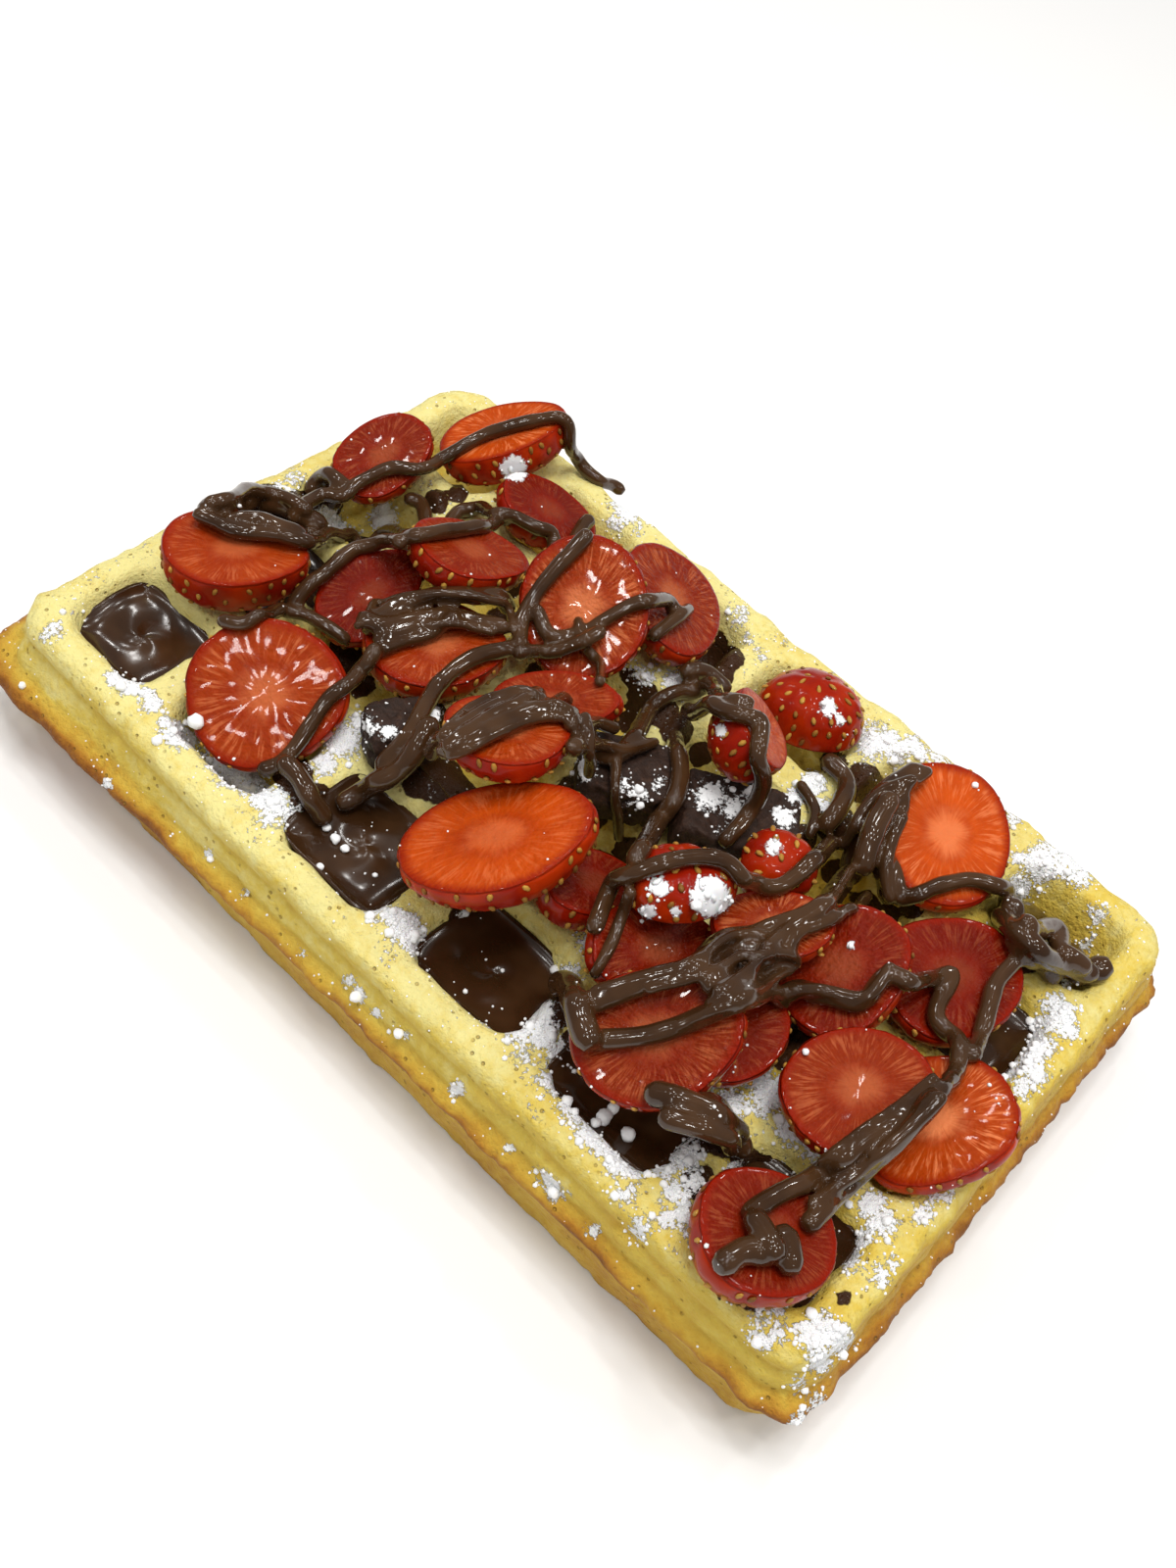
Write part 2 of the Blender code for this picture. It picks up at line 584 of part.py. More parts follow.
def rope_line(points, radius, field):
    """The rope's middle line, lying on the field along the sight lines of its route."""
    ball = grown_field(field, radius + GAP + CELL / 2)
    spots = []
    for u, v in smooth_route(points):
        height = THICKNESS + 25 * MM
        while height > THICKNESS - 8 * MM:
            spot = on_sight(u, v, height)
            if field_at(ball, spot.x, spot.y) > height:
                break
            height -= 0.2 * MM
        spots.append(spot)
    xs = blur([p.x for p in spots], 4)
    ys = blur([p.y for p in spots], 4)
    floor = [field_at(ball, x, y) for x, y in zip(xs, ys)]
    zs = floor
    for _ in range(3):
        zs = [max(a, b) for a, b in zip(blur(zs, 3), floor)]
    line = [Vector(p) for p in zip(xs, ys, zs)]
    knots = [line[0]]
    for p in line[1:-1]:
        if (p - knots[-1]).length >= ROPE_STEP:
            knots.append(p)
    if (line[-1] - knots[-1]).length < 0.6 * ROPE_STEP and len(knots) > 2:
        knots.pop()
    knots.append(line[-1])
    for _ in range(30):
        worst = 0.0
        for k in range(len(knots) - 1):
            for t in (0.0, 0.14, 0.28, 0.42, 0.58, 0.72, 0.86, 1.0):
                p = knots[k].lerp(knots[k + 1], t)
                short = field_at(ball, p.x, p.y) - p.z
                if short > 0.02 * MM:
                    knots[k].z += short * (1 - t) + 0.01 * MM
                    knots[k + 1].z += short * t + 0.01 * MM
                    worst = max(worst, short)
        if worst == 0.0:
            break
    return knots


def rope_object(name, knots, radius, coll, mat):
    """A solid rope of chocolate: a curve with a round section, made a mesh with closed ends."""
    curve = bpy.data.curves.new(name, "CURVE")
    curve.dimensions = "3D"
    curve.bevel_depth = radius
    curve.bevel_resolution = 1
    curve.use_fill_caps = True
    first = knots[0].lerp(knots[1], 0.0)
    tip = 0.55 * radius
    ahead = (knots[0] - knots[1]).normalized() * tip
    behind = (knots[-1] - knots[-2]).normalized() * tip
    line = [first + ahead] + knots + [knots[-1] + behind]
    spline = curve.splines.new("POLY")
    spline.points.add(len(line) - 1)
    for k, p in enumerate(line):
        spline.points[k].co = (p.x, p.y, p.z, 1.0)
        spline.points[k].radius = 0.60 if k in (0, len(line) - 1) else 1.0
    guide = bpy.data.objects.new(name, curve)
    coll.objects.link(guide)
    bpy.context.view_layer.update()
    graph = bpy.context.evaluated_depsgraph_get()
    mesh = bpy.data.meshes.new_from_object(guide.evaluated_get(graph))
    bpy.data.objects.remove(guide, do_unlink=True)
    bm = bmesh.new()
    bm.from_mesh(mesh)
    bmesh.ops.remove_doubles(bm, verts=bm.verts, dist=0.01 * MM)
    return add_object(name, mesh_from(bm, name), coll, mat)


def mark_rope(field, knots, radius):
    """Let later ropes ride over this one, sinking into it where they cross."""
    for k in range(len(knots) - 1):
        steps = max(1, round((knots[k + 1] - knots[k]).length / CELL))
        for n in range(steps + 1):
            p = knots[k].lerp(knots[k + 1], n / steps)
            reach = int(radius / CELL)
            ci, cj = round((p.x + FIELD_X) / CELL), round((p.y + FIELD_Y) / CELL)
            for i in range(ci - reach, ci + reach + 1):
                for j in range(cj - reach, cj + reach + 1):
                    flat = math.hypot(i - ci, j - cj) * CELL
                    if flat < radius:
                        rise = math.sqrt(radius * radius - flat * flat) - ROPE_SINK * radius
                        field[i, j] = max(field[i, j], p.z + rise)


def split_islands(mesh):
    """Meshes of the separate bodies in a mesh, the largest first."""
    bm = bmesh.new()
    bm.from_mesh(mesh)
    left = set(bm.verts)
    bodies = []
    while left:
        stack = [next(v for v in bm.verts if v in left)]
        left.discard(stack[0])
        body = []
        while stack:
            vert = stack.pop()
            body.append(vert.index)
            for e in vert.link_edges:
                other = e.other_vert(vert)
                if other in left:
                    left.discard(other)
                    stack.append(other)
        bodies.append(set(body))
    bm.free()
    meshes = []
    for body in sorted(bodies, key=len, reverse=True):
        part = bmesh.new()
        part.from_mesh(mesh)
        bmesh.ops.delete(part, geom=[v for v in part.verts if v.index not in body], context="VERTS")
        meshes.append(mesh_from(part, "drizzle"))
    return meshes


def centre_on_origin(coll):
    """Move everything sideways so that the origin is under the middle of the whole."""
    bpy.context.view_layer.update()
    spots = [obj.matrix_world @ vert.co for obj in coll.objects for vert in obj.data.vertices]
    shift_x = -(min(p.x for p in spots) + max(p.x for p in spots)) / 2
    shift_y = -(min(p.y for p in spots) + max(p.y for p in spots)) / 2
    for obj in coll.objects:
        obj.location.x += shift_x
        obj.location.y += shift_y
    bpy.context.view_layer.update()


def main():
    clear_scene()
    coll = make_collection("topped_waffle")
    tools = make_collection("tools")
    baked = make_material("baked_waffle", VIEW_WAFFLE, 0.75)
    fruit = make_material("strawberry", VIEW_BERRY, 0.25)
    chocolate = make_material("chocolate", VIEW_CHOCOLATE, 0.22)
    cake = make_material("dark_cake", VIEW_CAKE, 0.85)
    field = np.full((round(2 * FIELD_X / CELL), round(2 * FIELD_Y / CELL)), EMPTY)
    trees = []
    waffle = make_waffle(coll, tools, baked)
    add_to_field(field, waffle)
    trees.append(piece_tree(waffle))
    for k, (col, row, level, dome) in enumerate(POOLS):
        pool = make_pool("chocolate_pool_%d" % (k + 1), col, row, level, dome, coll, chocolate)
        add_to_field(field, pool)
        trees.append(piece_tree(pool))
    for k, (name, u, v, length, width, height, heading, lean) in enumerate(CAKES):
        piece = add_object(name, cake_mesh(name, length, width, height, 70 + k), coll, cake)
        lay(piece, u, v, field, 0.4 * length * MM, lean_matrix(heading, lean, heading + 90), 0.8)
        clear_of(piece, trees)
        add_to_field(field, piece)
    for k, (name, u, v, length, width, thick, heading, lean, towards, taper, skin_up) in enumerate(BERRIES):
        mesh = berry_mesh(name, length, width, thick, taper, skin_up, 200 + k)
        piece = add_object(name, mesh, coll, fruit)
        lay(piece, u, v, field, 0.42 * length * MM, lean_matrix(heading, 0.5 * lean, towards), 0.9)
        clear_of(piece, trees)
        add_to_field(field, piece)
    rope_names = []
    for k, (radius, *points) in enumerate(ROPES):
        knots = rope_line(points, radius * MM, field)
        rope = rope_object("rope_%d" % (k + 1), knots, radius * MM, tools, chocolate)
        mark_rope(field, knots, radius * MM)
        rope_names.append(rope.name)
    first = bpy.data.objects[rope_names[0]]
    tools.objects.unlink(first)
    coll.objects.link(first)
    join = first.modifiers.new("join ropes", "BOOLEAN")
    join.operation = "UNION"
    join.solver = "EXACT"
    join.operand_type = "COLLECTION"
    join.collection = tools
    bake_modifiers(first)
    for k, mesh in enumerate(split_islands(first.data)):
        add_object("drizzle_%02d" % (k + 1), mesh, coll, chocolate)
    for name in rope_names:
        bpy.data.objects.remove(bpy.data.objects[name], do_unlink=True)
    bpy.data.collections.remove(tools)
    centre_on_origin(coll)


main()
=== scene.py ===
"""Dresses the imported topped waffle: baked crust, cut fruit, chocolate, cake crumb and icing sugar.

Lengths are in metres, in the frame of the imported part: X along the waffle, Y across it, Z up. The
scene is run as a script. Places on the toppings are given as points of the camera's frame, which is
1200 by 1600, and each of them is carried down its sight line onto what lies there.
"""
import json
import math
import random

import bmesh
import bpy
import numpy as np
from bpy.props import FloatProperty, FloatVectorProperty, IntProperty, PointerProperty
from mathutils import Matrix, Vector, noise
from mathutils.bvhtree import BVHTree

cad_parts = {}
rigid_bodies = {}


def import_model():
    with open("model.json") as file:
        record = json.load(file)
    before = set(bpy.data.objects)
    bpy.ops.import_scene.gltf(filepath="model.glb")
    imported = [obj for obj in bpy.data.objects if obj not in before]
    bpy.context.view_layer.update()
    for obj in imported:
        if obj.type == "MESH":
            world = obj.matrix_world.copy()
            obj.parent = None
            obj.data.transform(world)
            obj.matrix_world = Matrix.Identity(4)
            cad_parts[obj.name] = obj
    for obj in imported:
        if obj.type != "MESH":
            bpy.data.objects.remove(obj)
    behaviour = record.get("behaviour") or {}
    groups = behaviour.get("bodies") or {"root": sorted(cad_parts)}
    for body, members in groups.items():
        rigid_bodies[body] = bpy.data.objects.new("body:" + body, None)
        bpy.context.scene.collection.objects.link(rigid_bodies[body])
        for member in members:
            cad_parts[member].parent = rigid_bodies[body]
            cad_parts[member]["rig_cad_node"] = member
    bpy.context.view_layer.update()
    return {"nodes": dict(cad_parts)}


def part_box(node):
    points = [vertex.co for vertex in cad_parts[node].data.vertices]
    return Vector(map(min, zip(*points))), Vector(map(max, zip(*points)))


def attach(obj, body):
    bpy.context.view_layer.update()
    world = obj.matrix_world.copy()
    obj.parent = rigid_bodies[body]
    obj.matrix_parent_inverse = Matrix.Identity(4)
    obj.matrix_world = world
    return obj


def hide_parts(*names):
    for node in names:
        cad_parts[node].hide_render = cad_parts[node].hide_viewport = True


bl_info = {
    "name": "Topped waffle",
    "version": (1, 0, 0),
    "blender": (4, 5, 0),
    "location": "View3D > Sidebar > Waffle",
    "description": "Builds the crust, fruit, chocolate, cake and sugar of a topped waffle",
    "category": "Object",
}

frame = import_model()

MM = 0.001
WAFFLE_LOW, WAFFLE_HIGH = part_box("waffle")

# The iron's pattern, before the part was centred on its origin
PITCH_X = 27.0 * MM
PITCH_Y = 24.4 * MM
POCKETS_X = 6
POCKETS_Y = 4
THICKNESS = 26.0 * MM
SEAM_HEIGHT = 12.6 * MM
LOW_X = -88.353 * MM
LOW_Y = -54.716 * MM
HALF_X = POCKETS_X * PITCH_X / 2
HALF_Y = POCKETS_Y * PITCH_Y / 2
EDGE = 0.6 * MM
CENTRING = Vector((WAFFLE_LOW.x - LOW_X, WAFFLE_LOW.y - LOW_Y, 0.0))

# The camera: its place, its right, down and ahead directions, and its picture plane
EYE = Vector((74.9 * MM, -137.3 * MM, 215.9 * MM)) + CENTRING
RIGHT = Vector((0.7194, 0.6681, 0.1899))
DOWN = Vector((0.6243, -0.5021, -0.5985))
AHEAD = Vector((-0.3045, 0.5491, -0.7783))
FOCAL = 1586.0
MIDDLE_U = 600.0
MIDDLE_V = 800.0
FRAME_HEIGHT = 1600.0
SENSOR = 36.0


def sight(u, v):
    """Direction of the sight line through a point of the frame."""
    return (RIGHT * ((u - MIDDLE_U) / FOCAL) + DOWN * ((v - MIDDLE_V) / FOCAL) + AHEAD).normalized()


def seen_on(tree, u, v):
    """First surface on a sight line: its place and normal, or None."""
    place, normal, _, _ = tree.ray_cast(EYE, sight(u, v))
    return None if place is None else (place, normal)


# Shader maths


class Value:
    """An output of a shader node. Sums written with it add Math nodes."""

    def __init__(self, paint, socket):
        self.paint = paint
        self.socket = socket

    def math(self, operation, *values):
        return self.paint.node("ShaderNodeMath", {"operation": operation}, dict(enumerate(values)))

    def __add__(self, other):
        return self.math("ADD", self, other)

    def __radd__(self, other):
        return self.math("ADD", other, self)

    def __sub__(self, other):
        return self.math("SUBTRACT", self, other)

    def __rsub__(self, other):
        return self.math("SUBTRACT", other, self)

    def __mul__(self, other):
        return self.math("MULTIPLY", self, other)

    def __rmul__(self, other):
        return self.math("MULTIPLY", other, self)

    def __pow__(self, other):
        return self.math("POWER", self, other)

    def clamped(self):
        return self.paint.node("ShaderNodeClamp", {}, {"Value": self})

    def between(self, low, high):
        """0 under low, 1 over high and smooth in the middle."""
        return self.paint.node(
            "ShaderNodeMapRange", {"interpolation_type": "SMOOTHSTEP"},
            {"Value": self, "From Min": low, "From Max": high, "To Min": 0.0, "To Max": 1.0},
        )


class Paint:
    """A material under construction."""

    def __init__(self, name):
        self.material = bpy.data.materials.new(name)
        self.material.use_nodes = True
        self.tree = self.material.node_tree
        self.shader = self.tree.nodes["Principled BSDF"]
        self.place = self.node("ShaderNodeTexCoord", {}, {}, "Object")

    def node(self, kind, settings, inputs, output=0):
        """Any node: its settings first, then the values or links of its sockets."""
        made = self.tree.nodes.new(kind)
        for key, value in settings.items():
            if key == "stops":
                ramp = made.color_ramp.elements
                while len(ramp) < len(value):
                    ramp.new(0.5)
                for stop, (where, colour) in zip(ramp, value):
                    stop.position = where
                    stop.color = (*colour, 1.0)
            else:
                setattr(made, key, value)
        for key, value in inputs.items():
            self.feed(made.inputs[key], value)
        return Value(self, made.outputs[output])

    def feed(self, socket, value):
        if isinstance(value, Value):
            self.tree.links.new(value.socket, socket)
        elif socket.type == "RGBA":
            socket.default_value = (*value, 1.0)
        else:
            socket.default_value = value

    def parts(self, vector):
        """The three numbers of a vector."""
        made = self.node("ShaderNodeSeparateXYZ", {}, {"Vector": vector}).socket.node
        return [Value(self, out) for out in made.outputs]

    def attribute(self, name, output="Fac"):
        return self.node("ShaderNodeAttribute", {"attribute_name": name}, {}, output)

    def noise(self, scale, detail=2.0, roughness=0.5, place=None):
        where = self.place if place is None else place
        inputs = {"Vector": where, "Scale": scale, "Detail": detail, "Roughness": roughness}
        return self.node("ShaderNodeTexNoise", {}, inputs)

    def cells(self, scale):
        return self.node("ShaderNodeTexVoronoi", {}, {"Vector": self.place, "Scale": scale}, "Distance")

    def ramp(self, value, *stops):
        return self.node("ShaderNodeValToRGB", {"stops": stops}, {"Fac": value}, "Color")

    def mix(self, share, first, second):
        return self.node(
            "ShaderNodeMix", {"data_type": "RGBA", "clamp_factor": True}, {0: share, 6: first, 7: second}, 2,
        )

    def bump(self, height, distance, strength):
        return self.node("ShaderNodeBump", {}, {"Height": height, "Distance": distance, "Strength": strength})

    def finish(self, **sockets):
        for name, value in sockets.items():
            self.feed(self.shader.inputs[name.replace("_", " ")], value)
        return self.material


def sugared(paint, colour, roughness):
    """Colour and roughness of a surface with the sugar that its own sugar value gives it."""
    grain = paint.noise(1500.0, 3.0, 0.65)
    drift = paint.noise(330.0, 2.0, 0.5)
    cover = (paint.attribute("sugar") * 1.05 + grain * 1.5 + drift * 0.6 - 1.66).between(0.0, 0.16)
    white = paint.mix(grain, (0.86, 0.87, 0.88), (0.96, 0.97, 0.98))
    return paint.mix(cover, colour, white), cover * (0.9 - roughness) + roughness, cover


# Meshes and attributes


def mesh_object(name, places, faces, material, smooth=True):
    mesh = bpy.data.meshes.new(name)
    mesh.from_pydata([tuple(p) for p in places], [], faces)
    mesh.validate()
    mesh.update()
    if smooth:
        mesh.shade_smooth()
    obj = bpy.data.objects.new(name, mesh)
    bpy.context.scene.collection.objects.link(obj)
    mesh.materials.append(material)
    return obj


def set_values(mesh, name, values, kind="FLOAT"):
    layer = mesh.attributes.new(name, kind, "POINT")
    if kind == "FLOAT":
        layer.data.foreach_set("value", np.array(values, np.float32))
    else:
        layer.data.foreach_set("vector", np.array(values, np.float32).ravel())


def apply_modifiers(obj):
    bpy.context.view_layer.update()
    graph = bpy.context.evaluated_depsgraph_get()
    mesh = bpy.data.meshes.new_from_object(obj.evaluated_get(graph))
    obj.modifiers.clear()
    obj.data = mesh


def swell(mesh, amount):
    """Move each point along its normal by the amount that a function gives for its place."""
    places = [v.co.copy() for v in mesh.vertices]
    normals = [v.normal.copy() for v in mesh.vertices]
    moved = [p + out * amount(p) for p, out in zip(places, normals)]
    mesh.vertices.foreach_set("co", np.array([tuple(p) for p in moved], np.float32).ravel())
    mesh.update()


def node_corners(name):
    """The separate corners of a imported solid."""
    seen = {}
    for vert in frame["nodes"][name].data.vertices:
        seen.setdefault(tuple(round(c * 1e5) for c in vert.co), vert.co.copy())
    return list(seen.values())


def settle_on(piece, *nodes, slot):
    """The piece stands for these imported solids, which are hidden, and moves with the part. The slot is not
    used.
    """
    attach(piece, "root")
    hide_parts(*nodes)


def surface_tree(objects):
    """Search tree of the surfaces of several objects together."""
    places, faces = [], []
    for obj in objects:
        first = len(places)
        places += [obj.matrix_world @ v.co for v in obj.data.vertices]
        faces += [[first + k for k in poly.vertices] for poly in obj.data.polygons]
    return BVHTree.FromPolygons(places, faces)


# Where the sugar fell

SUGAR_SEED = 4711
ROW_SEED = 77
# Points of the frame with a reach in its units and a strength
SUGAR = (
    (125, 703, 12, .8), (141, 694, 14, .9), (156, 719, 16, .9), (172, 750, 16, .9), (216, 772, 14, .9),
    (236, 790, 14, .7), (250, 800, 18, 1.), (269, 812, 18, 1.), (275, 834, 18, .9), (312, 859, 15, .9),
    (344, 887, 16, .8), (375, 900, 16, .9), (381, 931, 14, .9), (406, 950, 16, 1.), (431, 975, 16, .7),
    (462, 1006, 16, .7), (500, 1037, 18, .9), (531, 1050, 22, 1.), (550, 1059, 16, 1.),
    (531, 1075, 18, .8), (562, 1106, 20, 1.), (581, 1131, 20, 1.), (600, 1156, 18, 1.),
    (631, 1185, 22, 1.), (678, 1188, 20, 1.), (686, 1215, 16, 1.), (640, 1218, 20, .9),
    (654, 1253, 18, .9), (680, 1244, 16, .9), (707, 1259, 14, .9), (716, 1279, 14, .8),
    (350, 756, 24, 1.1), (331, 781, 18, 1.1), (369, 740, 18, 1.), (397, 749, 14, .9), (369, 850, 14, .9),
    (400, 862, 14, .9), (340, 859, 12, .9), (484, 942, 22, 1.1), (505, 965, 24, 1.1), (530, 985, 22, 1.1),
    (581, 994, 16, 1.), (600, 959, 18, .8), (560, 990, 14, .8), (742, 1129, 26, 1.1),
    (766, 1094, 26, 1.1), (783, 1118, 26, 1.1), (807, 1153, 22, 1.1), (825, 1172, 16, 1.),
    (795, 1194, 14, .9), (801, 1206, 12, .9), (748, 1191, 12, .9), (889, 1229, 22, 1.),
    (901, 1247, 20, 1.), (885, 1259, 18, .9), (966, 1218, 14, .8), (942, 1235, 14, .8),
    (898, 1303, 16, 1.), (910, 1290, 12, .9), (775, 1332, 12, 1.), (792, 1338, 14, .9),
    (766, 1359, 16, .8), (780, 1368, 16, .9), (836, 1359, 26, 1.1), (854, 1365, 22, 1.1),
    (836, 1388, 20, 1.), (816, 1412, 16, .7), (833, 1432, 16, .9), (819, 1459, 22, 1.1),
    (1025, 1059, 24, 1.), (1019, 1082, 20, 1.), (1056, 1065, 26, 1.1), (1055, 1094, 22, 1.),
    (1083, 1035, 20, 1.1), (1091, 1053, 16, .9), (1042, 1112, 16, .9), (1025, 1135, 18, 1.),
    (1010, 1100, 18, .8), (883, 1041, 16, 1.), (1065, 880, 28, 1.1), (1092, 893, 20, .9),
    (1040, 905, 20, 1.), (1130, 930, 14, .6), (1110, 965, 12, .6), (890, 757, 26, 1.), (915, 770, 20, .9),
    (850, 735, 18, .6), (870, 715, 14, .6), (800, 655, 14, .6), (830, 800, 18, 1.1), (812, 812, 14, 1.),
    (838, 822, 14, 1.), (690, 696, 20, 1.), (655, 690, 18, 1.), (756, 628, 16, .7), (640, 520, 22, 1.1),
    (628, 536, 14, .9), (335, 534, 19, 1.2), (392, 528, 19, 1.2), (300, 490, 18, .8), (330, 480, 14, .6),
    (280, 500, 12, .6), (360, 545, 12, .9), (75, 625, 14, .5), (110, 800, 8, 1.), (212, 872, 8, 1.),
    (250, 912, 8, .9), (309, 972, 7, .9), (356, 1000, 9, 1.), (366, 1016, 11, 1.1), (384, 1034, 8, 1.),
    (409, 1053, 11, 1.1), (466, 1112, 12, 1.1), (519, 1172, 8, 1.), (550, 1200, 12, 1.1),
    (566, 1216, 14, 1.1), (606, 1256, 10, 1.1), (12, 650, 8, .9),
    # on the cake
    (600, 756, 16, 1.), (597, 784, 16, 1.), (618, 768, 12, .9), (650, 815, 18, .9), (636, 800, 14, .8),
    (672, 800, 12, .8), (725, 812, 22, 1.), (748, 826, 20, .9), (770, 808, 14, .9), (800, 835, 16, 1.),
    (444, 731, 12, 1.), (425, 740, 12, .8), (470, 725, 8, .8), (735, 845, 10, .7),
)
SUGAR_ON_FRUIT = (
    (524, 478, 16, 1.), (735, 745, 10, .8), (845, 722, 12, .9), (857, 735, 8, .8), (725, 915, 22, 1.1),
    (672, 905, 14, .8), (662, 930, 12, .8), (790, 865, 12, .8), (690, 930, 8, .7), (868, 965, 6, .9),
)
# Rows of sugar along the edges: reach, strength and a line
SUGAR_ROWS = (
    (13, .95, (112, 694), (132, 690), (150, 705), (175, 745), (205, 766)),
    (14, 1.0, (222, 782), (262, 800), (288, 830), (326, 860), (352, 884)),
    (14, 1.0, (370, 892), (388, 925), (430, 958), (466, 1000), (500, 1036)),
    (15, 1.0, (505, 1034), (545, 1042), (562, 1072), (590, 1108), (602, 1150)),
    (13, .95, (602, 1150), (625, 1182), (655, 1190), (700, 1176), (708, 1204), (692, 1240)),
    (12, .9, (690, 1240), (712, 1268), (732, 1300), (752, 1326)), (12, .8, (640, 505), (652, 545)),
    (11, .7, (752, 625), (762, 660), (790, 672)),
    (13, .9, (860, 745), (900, 760), (940, 765), (968, 782)),
    (11, .8, (1000, 800), (1030, 830), (1044, 850)), (12, .9, (1040, 880), (1080, 872), (1112, 900)),
    (10, .8, (1120, 930), (1108, 970), (1080, 1010)),
    (13, .95, (1078, 1020), (1050, 1068), (1022, 1104), (1004, 1140)),
    (11, .8, (980, 1200), (950, 1226), (930, 1250)), (12, .9, (905, 1240), (880, 1262), (862, 1300)),
    (12, .85, (772, 1345), (800, 1362), (838, 1352)), (9, .8, (60, 640), (40, 660)),
    (9, .75, (300, 500), (270, 500), (235, 512)), (8, .7, (360, 462), (395, 440)),
)


def rows_of_sugar():
    """The marks along the rows, a little scattered."""
    rng = random.Random(ROW_SEED)
    spots = []
    for reach, strength, *line in SUGAR_ROWS:
        for (u0, v0), (u1, v1) in zip(line, line[1:]):
            steps = max(1, round(math.hypot(u1 - u0, v1 - v0) / 11))
            for k in range(steps):
                t = k / steps
                spots.append((
                    u0 + (u1 - u0) * t + rng.uniform(-5, 5), v0 + (v1 - v0) * t + rng.uniform(-5, 5),
                    reach * rng.uniform(0.7, 1.35), strength * rng.uniform(0.9, 1.25),
                ))
    return tuple(spots)


# Where chocolate ran over the crust, marked in the same way. Some marks paint shade: chocolate colour put in
# the dark gaps between the pieces.
COCOA_AND_GAP_SHADE = (
    (222, 522, 20, 1.), (248, 516, 22, 1.1), (276, 520, 24, 1.2), (305, 524, 24, 1.2),
    (330, 512, 20, 1.1), (370, 558, 12, 1.), (350, 575, 14, 1.), (325, 610, 16, 1.), (345, 640, 16, 1.1),
    (352, 672, 20, 1.1), (368, 700, 16, 1.), (420, 560, 12, 1.), (700, 668, 18, 1.1), (722, 662, 20, 1.2),
    (745, 674, 16, 1.), (735, 690, 16, 1.), (640, 690, 12, .8), (560, 690, 18, 1.), (582, 668, 16, 1.),
    (300, 792, 20, 1.2), (318, 822, 24, 1.2), (336, 846, 22, 1.1), (300, 800, 16, 1.),
    (378, 822, 18, 1.1), (424, 800, 16, 1.1), (440, 776, 22, 1.2), (400, 845, 16, 1.), (360, 868, 18, 1.),
    (440, 860, 18, 1.), (462, 880, 24, 1.2), (476, 912, 22, 1.2), (470, 940, 14, 1.), (500, 1000, 16, 1.),
    (540, 1006, 22, 1.2), (565, 1030, 22, 1.2), (590, 1070, 22, 1.1), (604, 960, 12, .9),
    (592, 890, 14, .9), (640, 1110, 22, 1.1), (690, 1120, 26, 1.2), (716, 1146, 26, 1.2),
    (742, 1160, 22, 1.2), (700, 1170, 20, 1.1), (760, 1184, 16, 1.1), (780, 1190, 12, 1.),
    (712, 1206, 18, 1.1), (700, 1240, 12, 1.), (800, 1040, 20, 1.1), (822, 1060, 22, 1.1),
    (800, 1080, 16, 1.), (862, 1040, 12, 1.), (770, 1330, 14, .9), (812, 1322, 14, .9),
    (860, 1323, 13, .7), (740, 1322, 12, .9), (880, 800, 22, 1.1), (850, 840, 22, 1.1),
    (850, 780, 14, 1.), (820, 856, 16, 1.), (1046, 950, 22, 1.1), (1064, 972, 24, 1.2),
    (1086, 988, 18, 1.1), (1040, 980, 16, 1.), (1015, 1070, 18, 1.), (1000, 1092, 14, .9),
    (1002, 1040, 14, 1.), (985, 1040, 12, 1.), (437, 735, 22, 1.1), (420, 715, 16, 1.),
    (512, 633, 16, 1.), (522, 600, 14, 1.), (655, 712, 18, 1.), (640, 735, 16, 1.), (675, 726, 18, 1.1),
    (690, 745, 18, 1.1), (450, 797, 24, 1.2), (472, 812, 16, 1.), (586, 815, 24, 1.1),
    (602, 832, 20, 1.1), (640, 868, 16, 1.), (905, 935, 14, 1.), (930, 925, 14, 1.), (852, 892, 16, 1.),
    (445, 512, 14, 1.), (468, 505, 12, .9), (560, 640, 14, 1.), (550, 690, 16, 1.), (760, 760, 12, .9),
    (715, 770, 14, 1.), (880, 920, 14, 1.), (948, 1030, 12, 1.), (560, 880, 14, 1.), (612, 880, 14, 1.),
)


def sugar_on(places):
    """How much sugar lies on each point, from the marked places."""
    return marked(places, rows_of_sugar() + SUGAR + SUGAR_ON_FRUIT)


def marked(places, marks):
    """How much of what fell at the marked places lies on each point."""
    rays = np.array(places) - np.array(EYE)
    depth = rays @ np.array(AHEAD)
    u = MIDDLE_U + FOCAL * (rays @ np.array(RIGHT)) / depth
    v = MIDDLE_V + FOCAL * (rays @ np.array(DOWN)) / depth
    most = np.zeros(len(rays))
    for su, sv, reach, strength in marks:
        most = np.maximum(most, strength * np.exp(-((u - su) ** 2 + (v - sv) ** 2) / (reach * reach)))
    return most


# The waffle


def settle(x, y, z):
    """Move a point of the regular waffle to its place on the baked one."""
    up = z / THICKNESS

    def uneven(a, b):
        return (
            0.45 * np.sin(41.0 * a + 23.0 * b + 0.6) + 0.35 * np.sin(-67.0 * a + 52.0 * b + 2.1)
            + 0.20 * np.sin(118.0 * a + 97.0 * b)
        )

    bow = 1.1 * MM * np.maximum(0.0, -y / HALF_Y) * (1.0 - (x / HALF_X) ** 2)
    lift = 0.5 * MM * uneven(x, y) * np.maximum(0.0, up * 2 - 1)
    corner = np.hypot(x + HALF_X, y + HALF_Y) / (42.0 * MM)
    flare = 3.6 * MM * np.maximum(0.0, 1.0 - np.abs(z - SEAM_HEIGHT) / (7 * MM)) * np.exp(-corner * corner)
    x = np.where(x < -HALF_X - 1.4 * MM, x - flare, x)
    y = np.where(y < -HALF_Y - 0.8 * MM, y - flare, y)
    return (
        x + 0.45 * MM * uneven(y * 1.6, x) * up + CENTRING.x,
        y - bow + 0.45 * MM * uneven(x + 0.03, y * 1.3) * up + CENTRING.y,
        z + lift,
    )


